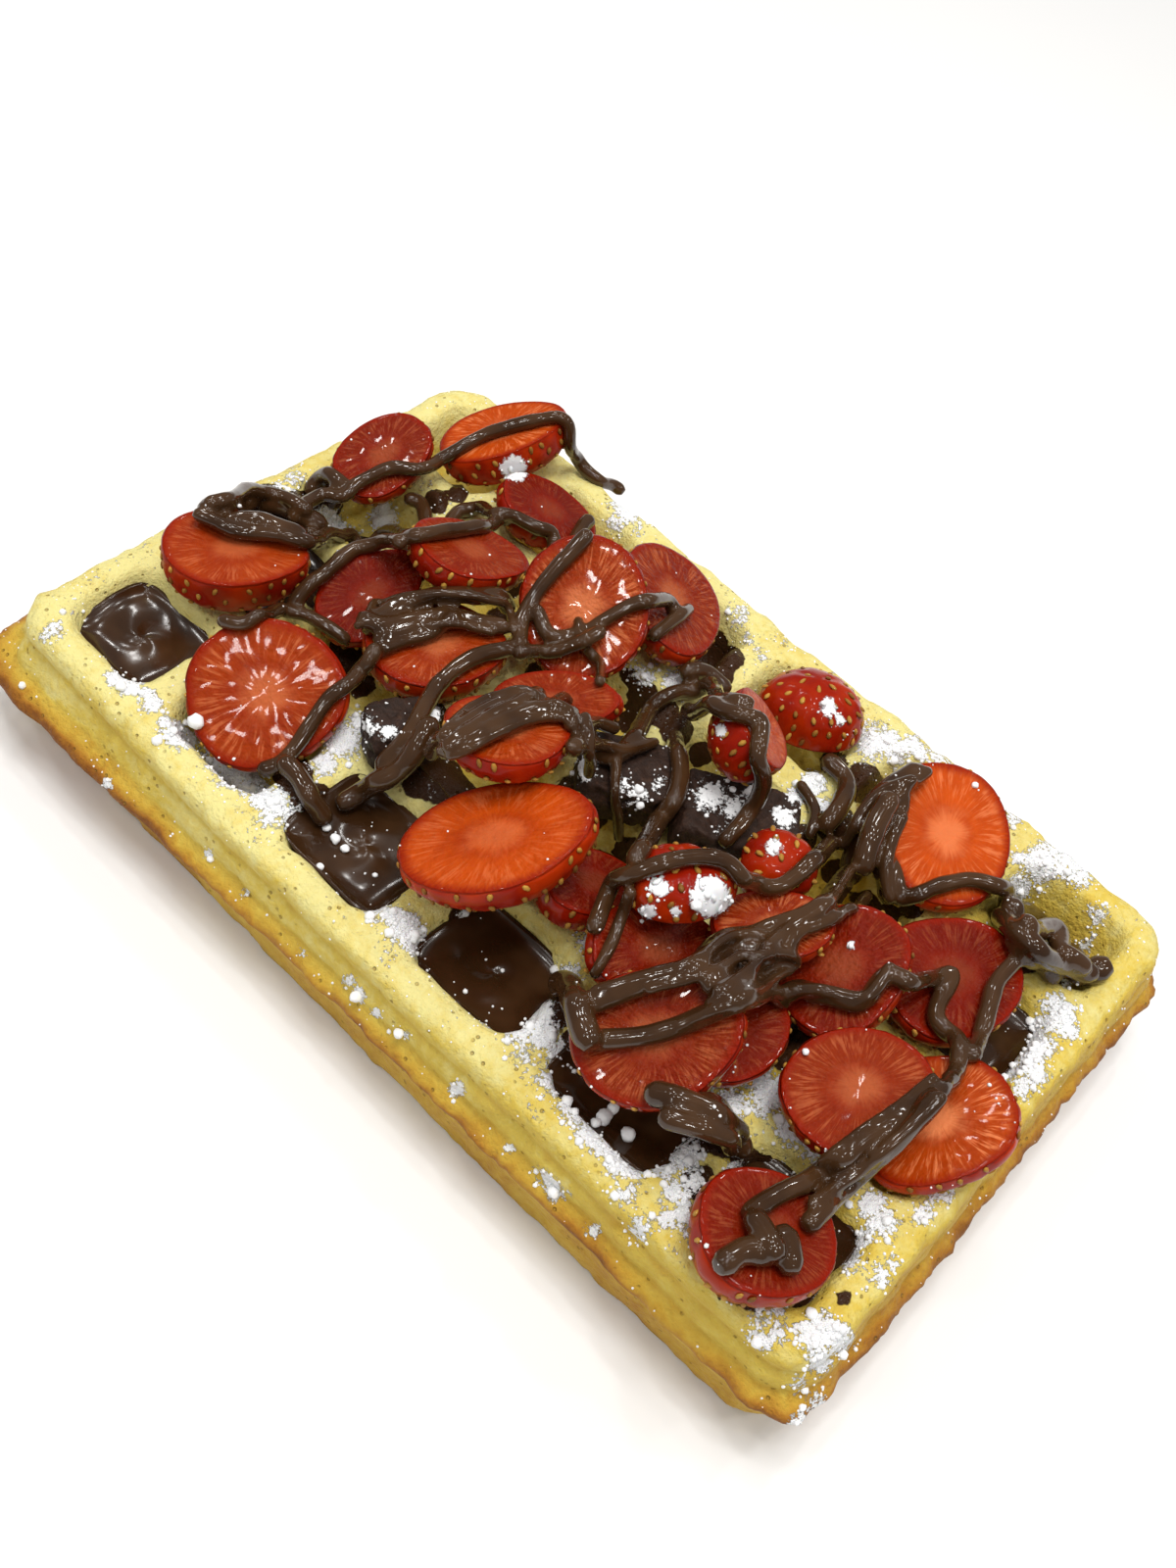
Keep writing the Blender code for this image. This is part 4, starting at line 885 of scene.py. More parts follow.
def strawberry_material(settings):
    paint = Paint("cut_strawberry")
    part = paint.attribute("slice", "Vector")
    look = paint.attribute("look", "Vector")
    start = paint.attribute("start")
    across, down, side = paint.parts(part)
    red, pale, wet = paint.parts(look)
    radius = (across * across + down * down) ** 0.5
    angle = down.math("ARCTAN2", down, across)
    blur = paint.noise(420.0, 2.0, 0.5)
    pulp = paint.noise(1100.0, 2.0, 0.6)
    # fibres run from the core to the seeds: noise that changes quickly round the middle, slowly outwards
    spoke = paint.node("ShaderNodeCombineXYZ", {}, {
        0: angle.math("SINE", angle) * 9.0 + start, 1: angle.math("COSINE", angle) * 9.0, 2: radius * 1.6,
    })
    fibres = paint.noise(1.35, 3.0, 0.6, spoke)
    bands = paint.noise(3.4, 2.0, 0.5, spoke)
    rim = (radius + (bands - 0.5) * 0.16).between(0.80, 0.97)
    core = 1 - (radius + (fibres - 0.5) * 0.24 + (blur - 0.5) * 0.3).between(0.10, 0.46)
    streak = (fibres + (bands - 0.5) * 0.6).between(0.46, 0.70)
    streak = streak * radius.between(0.34, 0.66) * (1 - radius.between(0.80, 0.95))
    flesh = paint.mix(red, settings.bright_flesh, settings.deep_flesh)
    cloud = paint.noise(150.0, 3.0, 0.6)
    flesh = paint.mix(((cloud - 0.42) * 2.2).clamped() * (red * 0.8 + 0.12), flesh, settings.deep_flesh)
    flesh = paint.mix((cloud - 0.25).clamped() * (1 - pale * 0.6), flesh, settings.rim_red)
    flesh = paint.mix((pulp - 0.40).clamped() * (red * 0.6 + 0.3), flesh, settings.deep_flesh)
    edge_of_core = (radius + (fibres - 0.5) * 0.2).between(0.22, 0.32)
    edge_of_core = edge_of_core * (1 - (radius + (bands - 0.5) * 0.2).between(0.34, 0.46))
    flesh = paint.mix(edge_of_core * 0.24, flesh, settings.rim_red)
    flesh = paint.mix((streak * (pale * 0.60 + 0.04)).clamped(), flesh, settings.pale_flesh)
    flesh = paint.mix((core * pale * 0.80).clamped(), flesh, settings.pale_flesh)
    flesh = paint.mix(rim * 0.9, flesh, settings.rim_red)
    ripe = paint.noise(160.0, 2.0, 0.5)
    skin = paint.mix(ripe.between(0.35, 0.7), settings.skin_red, settings.skin_light)
    skin = paint.mix(red * 0.55, skin, settings.rim_red)
    colour = paint.mix(side.between(0.35, 0.95), flesh, skin)
    hue = paint.mix((side - 2.0).clamped(), settings.seed_gold, settings.seed_brown)
    is_seed = side.between(1.5, 1.9)
    colour = paint.mix(is_seed, colour, hue)
    rough = 0.42 - wet * 0.24 + (blur - 0.5) * 0.24 + is_seed * 0.2
    dust = paint.noise(1500.0, 3.0, 0.65)
    cover = paint.attribute("sugar") * 1.15 + dust * 0.8 + paint.noise(330.0) * 0.5 - 1.12
    cover = cover.between(0.0, 0.16)
    colour = paint.mix(cover, colour, (0.90, 0.90, 0.92))
    rough = rough + cover * 0.6
    dew = paint.noise(1300.0, 2.0, 0.5) * 1.5 + paint.noise(560.0, 2.0, 0.5) * 0.7
    cut = 1 - side.between(0.4, 0.9)
    height = (fibres * radius * 0.03 + pulp * 0.7 + dew * wet) * cut + ripe * 0.1 + cover * 0.8
    normal = paint.bump(height, 0.34 * MM, 0.9)
    return paint.finish(
        Base_Color=colour, Roughness=rough, Normal=normal, Subsurface_Weight=0.08,
        Subsurface_Radius=(0.003, 0.0006, 0.0003), Subsurface_Scale=1.0, Specular_IOR_Level=0.06,
        Coat_Weight=wet * 0.26 + 0.04, Coat_Roughness=0.05,
    )


# Cake pieces

CAKES = ("cake_1", "cake_2", "cake_3")


def make_cake(name, material, grain):
    """A torn cube of dark cake with an open crumb."""
    cake = mesh_object(name + "_crumb", [v.co for v in frame["nodes"][name].data.vertices],
                       [tuple(p.vertices) for p in frame["nodes"][name].data.polygons], material)
    bm = bmesh.new()
    bm.from_mesh(cake.data)
    bmesh.ops.remove_doubles(bm, verts=bm.verts, dist=0.02 * MM)
    bm.to_mesh(cake.data)
    bm.free()
    remesh = cake.modifiers.new("even mesh", "REMESH")
    remesh.mode = "VOXEL"
    remesh.voxel_size = grain
    smooth = cake.modifiers.new("soft corners", "SMOOTH")
    smooth.factor = 0.5
    smooth.iterations = 5
    apply_modifiers(cake)
    cake.data.shade_smooth()

    def torn(p):
        hole = max(0.0, noise.noise((p.x * 700, p.y * 700, p.z * 700)) - 0.12)
        return (0.30 * noise.fractal((p.x * 420, p.y * 420, p.z * 420), 1.0, 2.0, 3) - 1.1 * hole) * MM

    swell(cake.data, torn)
    facing = np.array([1.0 if v.normal.z > 0.2 else 0.4 for v in cake.data.vertices])
    set_values(cake.data, "sugar", sugar_on([v.co for v in cake.data.vertices]) * facing)
    settle_on(cake, name, slot="dark_cake")
    return cake


def cake_material(settings):
    paint = Paint("dark_cake_crumb")
    crumb = paint.noise(900.0, 4.0, 0.7)
    wide = paint.noise(260.0, 2.0, 0.5)
    value = crumb * 0.7 + wide * 0.3
    colour = paint.ramp(value, (0.30, settings.cake_dark), (0.55, settings.cake), (0.75, settings.cake_light))
    colour, rough, cover = sugared(paint, colour, 0.62)
    normal = paint.bump(crumb + cover * 0.8, 0.5 * MM, 0.9)
    return paint.finish(Base_Color=colour, Roughness=rough, Normal=normal, Specular_IOR_Level=0.4)


# Chocolate

# How far the chocolate in each filled pocket lies under the wall tops, in mm
POOL_LEVELS = (3.8, 2.6, 2.4, 4.2, 1.8, 3.8, 3.6, 4.6)

# Ropes of chocolate in the order they fell: radius in mm, then the middle line in the frame
ROPES = (
    (2.2, (212, 520), (240, 512), (268, 512), (296, 520), (325, 536)),
    (2.0, (232, 534), (262, 532), (292, 542), (318, 548)),
    (1.8, (318, 500), (338, 490), (352, 500), (340, 516)),
    (1.5, (203, 526), (245, 544), (283, 546), (321, 556), (344, 548), (402, 550), (443, 544), (479, 539),
     (517, 531)),
    (1.6, (417, 521), (470, 521), (504, 523), (530, 530), (552, 541), (580, 540), (600, 532)),
    (1.5, (300, 528), (313, 513), (351, 510), (359, 498), (382, 485), (402, 477), (438, 482), (458, 465),
     (484, 449), (519, 436), (570, 426), (581, 439), (581, 467), (598, 482), (632, 500)),
    (1.5, (407, 558), (367, 559), (344, 574), (325, 593), (306, 613), (298, 626)),
    (1.4, (228, 634), (250, 638), (268, 625), (300, 627), (330, 638), (352, 652)),
    (1.8, (377, 640), (400, 622), (430, 614), (466, 612), (500, 620), (515, 634)),
    (1.8, (372, 632), (392, 640), (420, 634), (452, 630), (486, 634), (512, 640)),
    (1.4, (380, 668), (410, 655), (440, 648), (462, 630)),
    (1.6, (382, 664), (368, 690), (338, 710), (318, 738), (302, 762), (284, 782), (270, 786)),
    (1.9, (292, 780), (306, 796), (318, 818), (330, 834)),
    (1.7, (526, 662), (486, 670), (454, 692), (434, 720), (415, 756), (390, 784)),
    (2.1, (438, 742), (424, 768), (412, 790), (384, 806), (352, 818)),
    (1.6, (549, 709), (514, 717), (482, 735), (453, 757), (440, 770)),
    (1.6, (583, 728), (549, 725), (514, 743), (478, 760), (452, 772)),
    (1.6, (598, 547), (585, 562), (566, 582), (546, 608), (532, 634), (530, 660)),
    (1.6, (549, 624), (560, 651), (598, 645), (625, 628), (656, 614), (684, 620), (690, 632)),
    (1.5, (668, 648), (684, 636), (702, 622)),
    (1.1, (590, 634), (594, 660), (610, 676), (612, 696)),
    (1.5, (530, 666), (560, 668), (591, 658), (612, 646)),
    (2.0, (700, 688), (720, 690), (738, 702)),
    (1.7, (762, 718), (726, 712), (690, 708), (667, 720), (652, 746), (629, 772), (584, 768)),
    (1.3, (582, 740), (604, 742), (625, 748)),
    (1.1, (629, 770), (627, 800), (626, 832), (629, 862)),
    (1.8, (689, 752), (694, 782), (690, 812), (667, 848), (648, 876)),
    (1.7, (702, 727), (740, 728), (774, 738), (772, 776), (776, 806), (762, 834), (740, 858)),
    (1.2, (817, 802), (832, 828), (826, 852)),
    (1.9, (846, 778), (864, 800), (853, 830), (842, 842)),
    (1.6, (607, 946), (624, 906), (652, 890), (700, 876), (741, 879), (764, 904), (799, 904), (825, 882),
     (848, 862)),
    (2.4, (934, 790), (914, 802), (894, 818), (878, 852), (868, 886)),
    (2.1, (918, 812), (914, 836), (898, 858), (894, 890), (904, 918)),
    (2.1, (868, 894), (846, 918), (826, 936), (788, 954), (742, 960), (712, 986), (648, 1006), (604, 1024)),
    (1.7, (884, 846), (912, 890), (918, 922), (952, 906), (990, 898), (1018, 908), (1026, 936)),
    (2.6, (1030, 930), (1052, 944), (1074, 962), (1092, 984), (1106, 994), (1123, 988)),
    (1.6, (1040, 976), (1016, 1004), (1006, 1040), (992, 1076)),
    (1.9, (764, 968), (732, 996), (724, 1008), (748, 1012), (776, 990), (806, 962)),
    (1.7, (604, 1062), (665, 1056), (722, 1036), (764, 1020), (800, 1020)),
    (2.4, (572, 1004), (586, 1020), (592, 1044), (600, 1060)),
    (1.1, (642, 914), (624, 962), (606, 996)),
    (1.7, (806, 1012), (840, 1016), (879, 1024), (906, 994), (936, 1008), (971, 994), (954, 1036),
     (978, 1072), (964, 1110), (914, 1144), (884, 1162), (838, 1198), (796, 1218), (766, 1236)),
    (1.7, (954, 1122), (906, 1174), (856, 1219), (826, 1248)),
    (2.2, (740, 1288), (760, 1276), (784, 1278), (800, 1262), (806, 1288)),
    (1.9, (770, 1246), (782, 1262), (790, 1276)),
    (2.3, (690, 1136), (716, 1138), (738, 1150), (756, 1170)),
    (1.0, (451, 768), (480, 746), (520, 727), (560, 717), (580, 716)),
    (1.0, (455, 760), (490, 736), (530, 716), (552, 711)),
    (1.0, (458, 776), (500, 752), (545, 734), (586, 733)),
    (1.0, (392, 630), (425, 613), (470, 605), (506, 613)),
    (1.0, (385, 653), (420, 641), (460, 637), (502, 646)),
    (1.1, (582, 762), (606, 764), (640, 766), (668, 758)),
    (1.1, (597, 732), (602, 764), (600, 792)),
    (1.3, (946, 788), (924, 804), (904, 826), (892, 852), (889, 882)),
    (1.3, (930, 797), (900, 808), (880, 830), (860, 862)),
    (1.3, (920, 834), (908, 862), (903, 892), (908, 916)),
    (2.2, (906, 818), (890, 850), (880, 884)),
    (1.2, (864, 904), (822, 930), (780, 946), (736, 966), (700, 986), (650, 1000), (608, 1012)),
    (1.1, (884, 916), (852, 938), (816, 952), (792, 976), (762, 992)),
    (1.1, (790, 960), (770, 984), (760, 1010), (724, 1024)),
    (2.0, (1036, 946), (1060, 966), (1084, 988), (1102, 996)),
    (2.0, (1034, 960), (1052, 980), (1074, 996)),
    (2.0, (668, 1116), (700, 1124), (730, 1136), (752, 1156)),
    (1.8, (680, 1142), (704, 1150), (728, 1160), (746, 1172)),
    (1.2, (812, 1010), (850, 1014), (884, 1018), (908, 988)),
    (1.2, (960, 1120), (920, 1158), (874, 1196), (830, 1228)),
    (1.6, (215, 514), (250, 506), (285, 508), (312, 520)),
    (1.0, (716, 994), (722, 972), (744, 957), (774, 954), (783, 965), (771, 983), (747, 1003), (731, 1012)),
    (1.0, (661, 1010), (704, 1000), (753, 981), (802, 973), (811, 988), (783, 1005), (734, 1029),
     (692, 1047)),
    (1.0, (783, 966), (814, 942), (844, 923), (869, 887)),
    (0.9, (364, 645), (382, 622), (413, 609), (456, 606), (492, 611), (517, 627), (523, 642)),
    (0.9, (450, 752), (468, 731), (498, 714), (529, 705), (547, 709)),
    (0.9, (456, 765), (492, 744), (529, 728), (566, 719), (582, 726)),
    (0.9, (838, 1186), (880, 1154), (920, 1126), (952, 1100)),
    (2.2, (1022, 936), (1044, 956), (1066, 976), (1090, 990), (1110, 992)),
    (1.9, (1046, 942), (1066, 954), (1086, 972), (1104, 986)),
)

CELL = 0.5 * MM
FIELD_X = 104.0 * MM
FIELD_Y = 72.0 * MM
EMPTY = -0.05
# How far down a rope may sag into a pocket, and past the waffle's edge
LOWEST = THICKNESS - 9 * MM
LOWEST_PAST_EDGE = THICKNESS - 3 * MM


def height_field(tree):
    """Height of the highest surface over the cells of a plan."""
    nx, ny = round(2 * FIELD_X / CELL), round(2 * FIELD_Y / CELL)
    field = np.full((nx, ny), EMPTY)
    for i in range(nx):
        for j in range(ny):
            hit = tree.ray_cast(Vector((i * CELL - FIELD_X, j * CELL - FIELD_Y, 0.2)), Vector((0, 0, -1)))[0]
            if hit is not None:
                field[i, j] = hit.z
    return field


def ball_field(field, radius):
    """Height of the middle of a ball of this radius that rests on the field, for every cell."""
    out = np.full_like(field, EMPTY)
    reach = int(radius / CELL)
    nx, ny = field.shape
    for di in range(-reach, reach + 1):
        for dj in range(-reach, reach + 1):
            flat = math.hypot(di, dj) * CELL
            if flat > radius:
                continue
            rise = math.sqrt(radius * radius - flat * flat)
            a = out[max(0, di):nx + min(0, di), max(0, dj):ny + min(0, dj)]
            b = field[max(0, -di):nx + min(0, -di), max(0, -dj):ny + min(0, -dj)]
            np.maximum(a, b + rise, out=a)
    return out


def field_at(field, x, y):
    fx, fy = (x + FIELD_X) / CELL, (y + FIELD_Y) / CELL
    i, j = int(fx), int(fy)
    if i < 0 or j < 0 or i >= field.shape[0] - 1 or j >= field.shape[1] - 1:
        return EMPTY
    a, b = fx - i, fy - j
    return float(
        field[i, j] * (1 - a) * (1 - b) + field[i + 1, j] * a * (1 - b)
        + field[i, j + 1] * (1 - a) * b + field[i + 1, j + 1] * a * b
    )


def smooth_route(points):
    """Points of a smooth line through the marked ones, close together."""
    pts = [Vector((float(u), float(v))) for u, v in points]
    pts = [pts[0] * 2 - pts[1]] + pts + [pts[-1] * 2 - pts[-2]]
    out = []
    for k in range(1, len(pts) - 2):
        p0, p1, p2, p3 = pts[k - 1:k + 3]
        steps = max(2, round((p2 - p1).length / 4))
        for n in range(steps):
            t = n / steps
            out.append(0.5 * (
                2 * p1 + (p2 - p0) * t + (2 * p0 - 5 * p1 + 4 * p2 - p3) * t * t
                + (3 * p1 - p0 - 3 * p2 + p3) * t * t * t
            ))
    out.append(pts[-2])
    return out


def soften(values, rounds):
    for _ in range(rounds):
        inner = [(values[k - 1] + 2 * values[k] + values[k + 1]) / 4 for k in range(1, len(values) - 1)]
        values = [values[0]] + inner + [values[-1]]
    return values


def rope_line(points, radius, field):
    """Middle line of a rope that lies on the field under the sight lines of its route."""
    ball = ball_field(field, radius)
    spots = []
    for u, v in smooth_route(points):
        ray = sight(u, v)
        ray = ray / -ray.z
        height = THICKNESS + 30 * MM
        while height > LOWEST:
            spot = EYE + ray * (EYE.z - height)
            under = field_at(ball, spot.x, spot.y)
            if under > height or (under < 0 and height < LOWEST_PAST_EDGE):
                break
            height -= 0.15 * MM
        spots.append(spot)
    xs = soften([p.x for p in spots], 4)
    ys = soften([p.y for p in spots], 4)
    under = [field_at(ball, x, y) for x, y in zip(xs, ys)]
    floor = [max(z, LOWEST if z > 0 else LOWEST_PAST_EDGE) for z in under]
    zs = floor
    for _ in range(4):
        zs = [max(a, b) for a, b in zip(soften(zs, 5), floor)]
    zs = soften(zs, 3)
    return [Vector(p) for p in zip(xs, ys, zs)]


def mark_rope(field, line, radius, sink):
    """Let later ropes ride over this one, sinking into it where they cross."""
    for p in line:
        reach = int(radius / CELL)
        ci, cj = round((p.x + FIELD_X) / CELL), round((p.y + FIELD_Y) / CELL)
        for i in range(ci - reach, ci + reach + 1):
            for j in range(cj - reach, cj + reach + 1):
                flat = math.hypot(i - ci, j - cj) * CELL
                if flat < radius:
                    rise = math.sqrt(radius * radius - flat * flat) - sink * radius
                    field[i, j] = max(field[i, j], p.z + rise)


def rope_skin(line, radius, order, places, faces):
    """Round skin of a rope with slow swells and rounded ends."""
    around = 10
    slow = [noise.noise((p.x * 130, p.y * 130, order * 3.7)) for p in line]
    quick = [noise.noise((p.x * 420, p.y * 420, order)) for p in line]
    radii = [radius * (1 + 0.14 * a + 0.07 * b) for a, b in zip(slow, quick)]
    start, end = (line[0] - line[1]).normalized(), (line[-1] - line[-2]).normalized()
    line = [line[0] + start * radius * 0.75] + line + [line[-1] + end * radius * 0.75]
    radii = [radii[0] * 0.62] + radii + [radii[-1] * 0.62]
    first = len(places)
    side = None
    for k, p in enumerate(line):
        ahead = (line[min(k + 1, len(line) - 1)] - line[max(k - 1, 0)]).normalized()
        if side is None:
            side = ahead.cross(Vector((0, 0, 1))).normalized()
        side = (side - ahead * side.dot(ahead)).normalized()
        up = side.cross(ahead)
        for n in range(around):
            angle = 2 * math.pi * n / around
            places.append(p + (side * math.cos(angle) + up * math.sin(angle)) * radii[k])
    for k in range(len(line) - 1):
        for n in range(around):
            m = (n + 1) % around
            a, b = first + k * around, first + (k + 1) * around
            faces.append((a + n, a + m, b + m, b + n))
    faces.append(tuple(first + n for n in range(around))[::-1])
    faces.append(tuple(first + (len(line) - 1) * around + n for n in range(around)))


def make_ropes(settings, material, things):
    """All the poured chocolate ropes, run together where they touch."""
    field = height_field(surface_tree(things))
    places, faces = [], []
    for order, (radius, *points) in enumerate(ROPES):
        line = rope_line(points, radius * MM * 0.78, field)
        rope_skin(line, radius * MM * 0.82, order, places, faces)
        mark_rope(field, line, radius * MM * 0.84, 0.95)
    ropes = mesh_object("chocolate_ropes", places, faces, material)
    remesh = ropes.modifiers.new("run together", "REMESH")
    remesh.mode = "VOXEL"
    remesh.voxel_size = settings.rope_voxel
    smooth = ropes.modifiers.new("surface tension", "SMOOTH")
    smooth.factor = 0.5
    smooth.iterations = 2
    fewer = ropes.modifiers.new("fewer faces", "DECIMATE")
    fewer.ratio = 0.55
    apply_modifiers(ropes)
    ropes.data.shade_smooth()
    swell(ropes.data, lambda p: (0.04 + 0.10 * noise.noise((p.x * 300, p.y * 300, p.z * 300))) * MM)
    set_values(ropes.data, "sugar", [0.0] * len(ropes.data.vertices))
    settle_on(ropes, *[n for n in frame["nodes"] if n.startswith("drizzle")], slot="chocolate")
    return ropes


def make_pools(material):
    """Chocolate in the pockets: a swirled top that creeps up the walls, and its sides and bottom."""
    places, faces = [], []
    for number, level in enumerate(POOL_LEVELS):
        low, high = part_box("chocolate_pool_%d" % (number + 1))
        spread = 1.1 * MM
        nx, ny = 40, 36
        first = len(places)
        for i in range(nx):
            for j in range(ny):
                a, b = i / (nx - 1) * 2 - 1, j / (ny - 1) * 2 - 1
                x = (low.x + high.x) / 2 + a * ((high.x - low.x) / 2 + spread)
                y = (low.y + high.y) / 2 + b * ((high.y - low.y) / 2 + spread)
                x, y = x - 1.1 * MM * a * b * b * abs(a * b) ** 3, y - 1.1 * MM * b * a * a * abs(a * b) ** 3
                climb = max(abs(a), abs(b)) ** 7 * 1.5
                turn = math.atan2(b, a) + 2.2 * math.hypot(a, b)
                swirl = 0.28 * math.sin(2 * turn + number) * (1 - abs(a) ** 4) * (1 - abs(b) ** 4)
                wave = 0.8 * noise.noise((x * 110, y * 110, number * 5.0))
                places.append(Vector((x, y, THICKNESS - (level - climb - swirl - wave) * MM)))
        top = [[first + i * ny + j for j in range(ny)] for i in range(nx)]
        for i in range(nx - 1):
            for j in range(ny - 1):
                faces.append((top[i][j], top[i + 1][j], top[i + 1][j + 1], top[i][j + 1]))
        edge = [top[i][0] for i in range(nx - 1)] + [top[-1][j] for j in range(ny - 1)]
        edge += [top[i][-1] for i in range(nx - 1, 0, -1)] + [top[0][j] for j in range(ny - 1, 0, -1)]
        centre = Vector(((low.x + high.x) / 2, (low.y + high.y) / 2, 0))
        under = len(places)
        for k in edge:
            p = places[k]
            foot = centre + (p - centre) * 0.80
            places.append(Vector((foot.x, foot.y, low.z - 0.1 * MM)))
        for k in range(len(edge)):
            n = (k + 1) % len(edge)
            faces.append((edge[n], edge[k], under + k, under + n))
        faces.append(tuple(under + k for k in range(len(edge)))[::-1])
    pools = mesh_object("chocolate_pools", places, faces, material)
    set_values(pools.data, "sugar", [0.0] * len(places))
    settle_on(pools, *["chocolate_pool_%d" % (k + 1) for k in range(len(POOL_LEVELS))], slot="chocolate")
    return pools


def chocolate_material(name, settings, depth, shine):
    paint = Paint(name)
    slow = paint.noise(130.0, 2.0, 0.5)
    fine = paint.noise(800.0, 2.0, 0.5)
    # depth shifts the colour towards the dark chocolate; for the pooled chocolate it is painted shade in the
    # pockets
    colour = paint.ramp(slow - depth, (0.3, settings.cocoa_dark_and_pool_shade), (0.6, settings.cocoa))
    rough = fine * 0.06 + slow * 0.06 + shine
    normal = paint.bump(fine * 0.2 + paint.noise(300.0, 2.0, 0.5), 0.10 * MM, 0.35)
    return paint.finish(
        Base_Color=colour, Roughness=rough, Normal=normal, Coat_Weight=0.04, Coat_Roughness=0.03,
        Specular_IOR_Level=0.50,
    )


# Loose sugar

# Single balls and bits: place in the frame and radius in mm
BALLS = (
    (201, 737, 1.25), (615, 1142, 1.15), (625, 1132, 0.9), (640, 1160, 1.1), (606, 1148, 0.8),
    (124, 703, 0.9), (342, 858, 0.8), (352, 868, 0.7), (333, 846, 0.7), (822, 1074, 0.5),
    (868, 966, 0.45), (566, 1216, 0.8), (366, 1015, 0.9), (409, 1052, 0.8), (24, 700, 0.6),
)


def small_lump(centre, radius, rng, places, faces):
    """An uneven lump of sugar."""
    bm = bmesh.new()
    bmesh.ops.create_icosphere(bm, subdivisions=1 if radius < 0.5 * MM else 2, radius=radius)
    seed = rng.uniform(0, 50)
    first = len(places)
    for vert in bm.verts:
        p = vert.co
        k = 1 + 0.35 * noise.noise((p.x / radius * 1.3 + seed, p.y / radius * 1.3, p.z / radius * 1.3))
        places.append(centre + Vector((p.x * k, p.y * k, p.z * k * 0.85)))
    faces += [tuple(first + v.index for v in f.verts) for f in bm.faces]
    bm.free()


def make_sugar(settings, material, things):
    """Loose lumps and grains of sugar, thickest where the sugar fell, joined in one piece."""
    rng = random.Random(SUGAR_SEED)
    tree = surface_tree(things)
    bare = surface_tree([t for t in things if t.name.startswith(("waffle", "cake"))])

    def melts(spot):
        under = bare.ray_cast(spot + Vector((0, 0, 0.05)), Vector((0, 0, -1)))[0]
        return under is None or under.z < spot.z - 0.2 * MM

    places, faces = [], []
    on_crust = rows_of_sugar() + SUGAR
    for number, (su, sv, reach, strength) in enumerate(on_crust + SUGAR_ON_FRUIT):
        for _ in range(int(settings.lumps * reach * reach * strength / 300)):
            angle, far = rng.uniform(0, 6.28), reach * 1.1 * math.sqrt(rng.random())
            hit = seen_on(tree, su + far * math.cos(angle), sv + far * math.sin(angle))
            if hit is None or number < len(on_crust) and melts(hit[0]) and rng.random() < 0.92:
                continue
            radius = min(0.85, 0.10 + rng.expovariate(7.5)) * MM
            if hit[1].z < 0.15:
                radius = min(radius, 0.3 * MM)
            small_lump(hit[0] + hit[1] * radius * 0.25, radius, rng, places, faces)
    for u, v, radius in BALLS:
        hit = seen_on(tree, u, v)
        if hit is not None:
            small_lump(hit[0] + hit[1] * radius * MM * 0.6, radius * MM, rng, places, faces)
    for _ in range(settings.stray):
        x, y = rng.uniform(-88, 88) * MM, rng.uniform(-53, 53) * MM
        hit = tree.ray_cast(Vector((x, y, 0.2)), Vector((0, 0, -1)))
        if hit[0] is None or hit[0].z < 12 * MM or melts(hit[0]) and rng.random() < 0.95:
            continue
        small_lump(hit[0], rng.uniform(0.08, 0.24) * MM, rng, places, faces)
    sugar = mesh_object("icing_sugar_lumps", places, faces, material)
    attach(sugar, "root")
    return sugar


def sugar_material():
    paint = Paint("icing_sugar")
    grain = paint.noise(1500.0, 2.0, 0.6)
    colour = paint.mix(grain, (0.88, 0.89, 0.90), (0.97, 0.98, 0.99))
    return paint.finish(
        Base_Color=colour, Roughness=0.9, Normal=paint.bump(grain, 0.2 * MM, 0.6), Subsurface_Weight=0.1,
        Subsurface_Radius=(0.001, 0.001, 0.001), Subsurface_Scale=1.0,
    )


# Floor, lights and camera


def add_light(name, place, target, size, power, colour):
    light = bpy.data.lights.new(name, "AREA")
    light.shape = "DISK" if size < 0.3 else "SQUARE"
    light.size = size
    light.energy = power
    light.color = colour
    obj = bpy.data.objects.new(name, light)
    obj.location = place
    obj.rotation_euler = (Vector(target) - Vector(place)).to_track_quat("-Z", "Y").to_euler()
    bpy.context.scene.collection.objects.link(obj)
    return obj


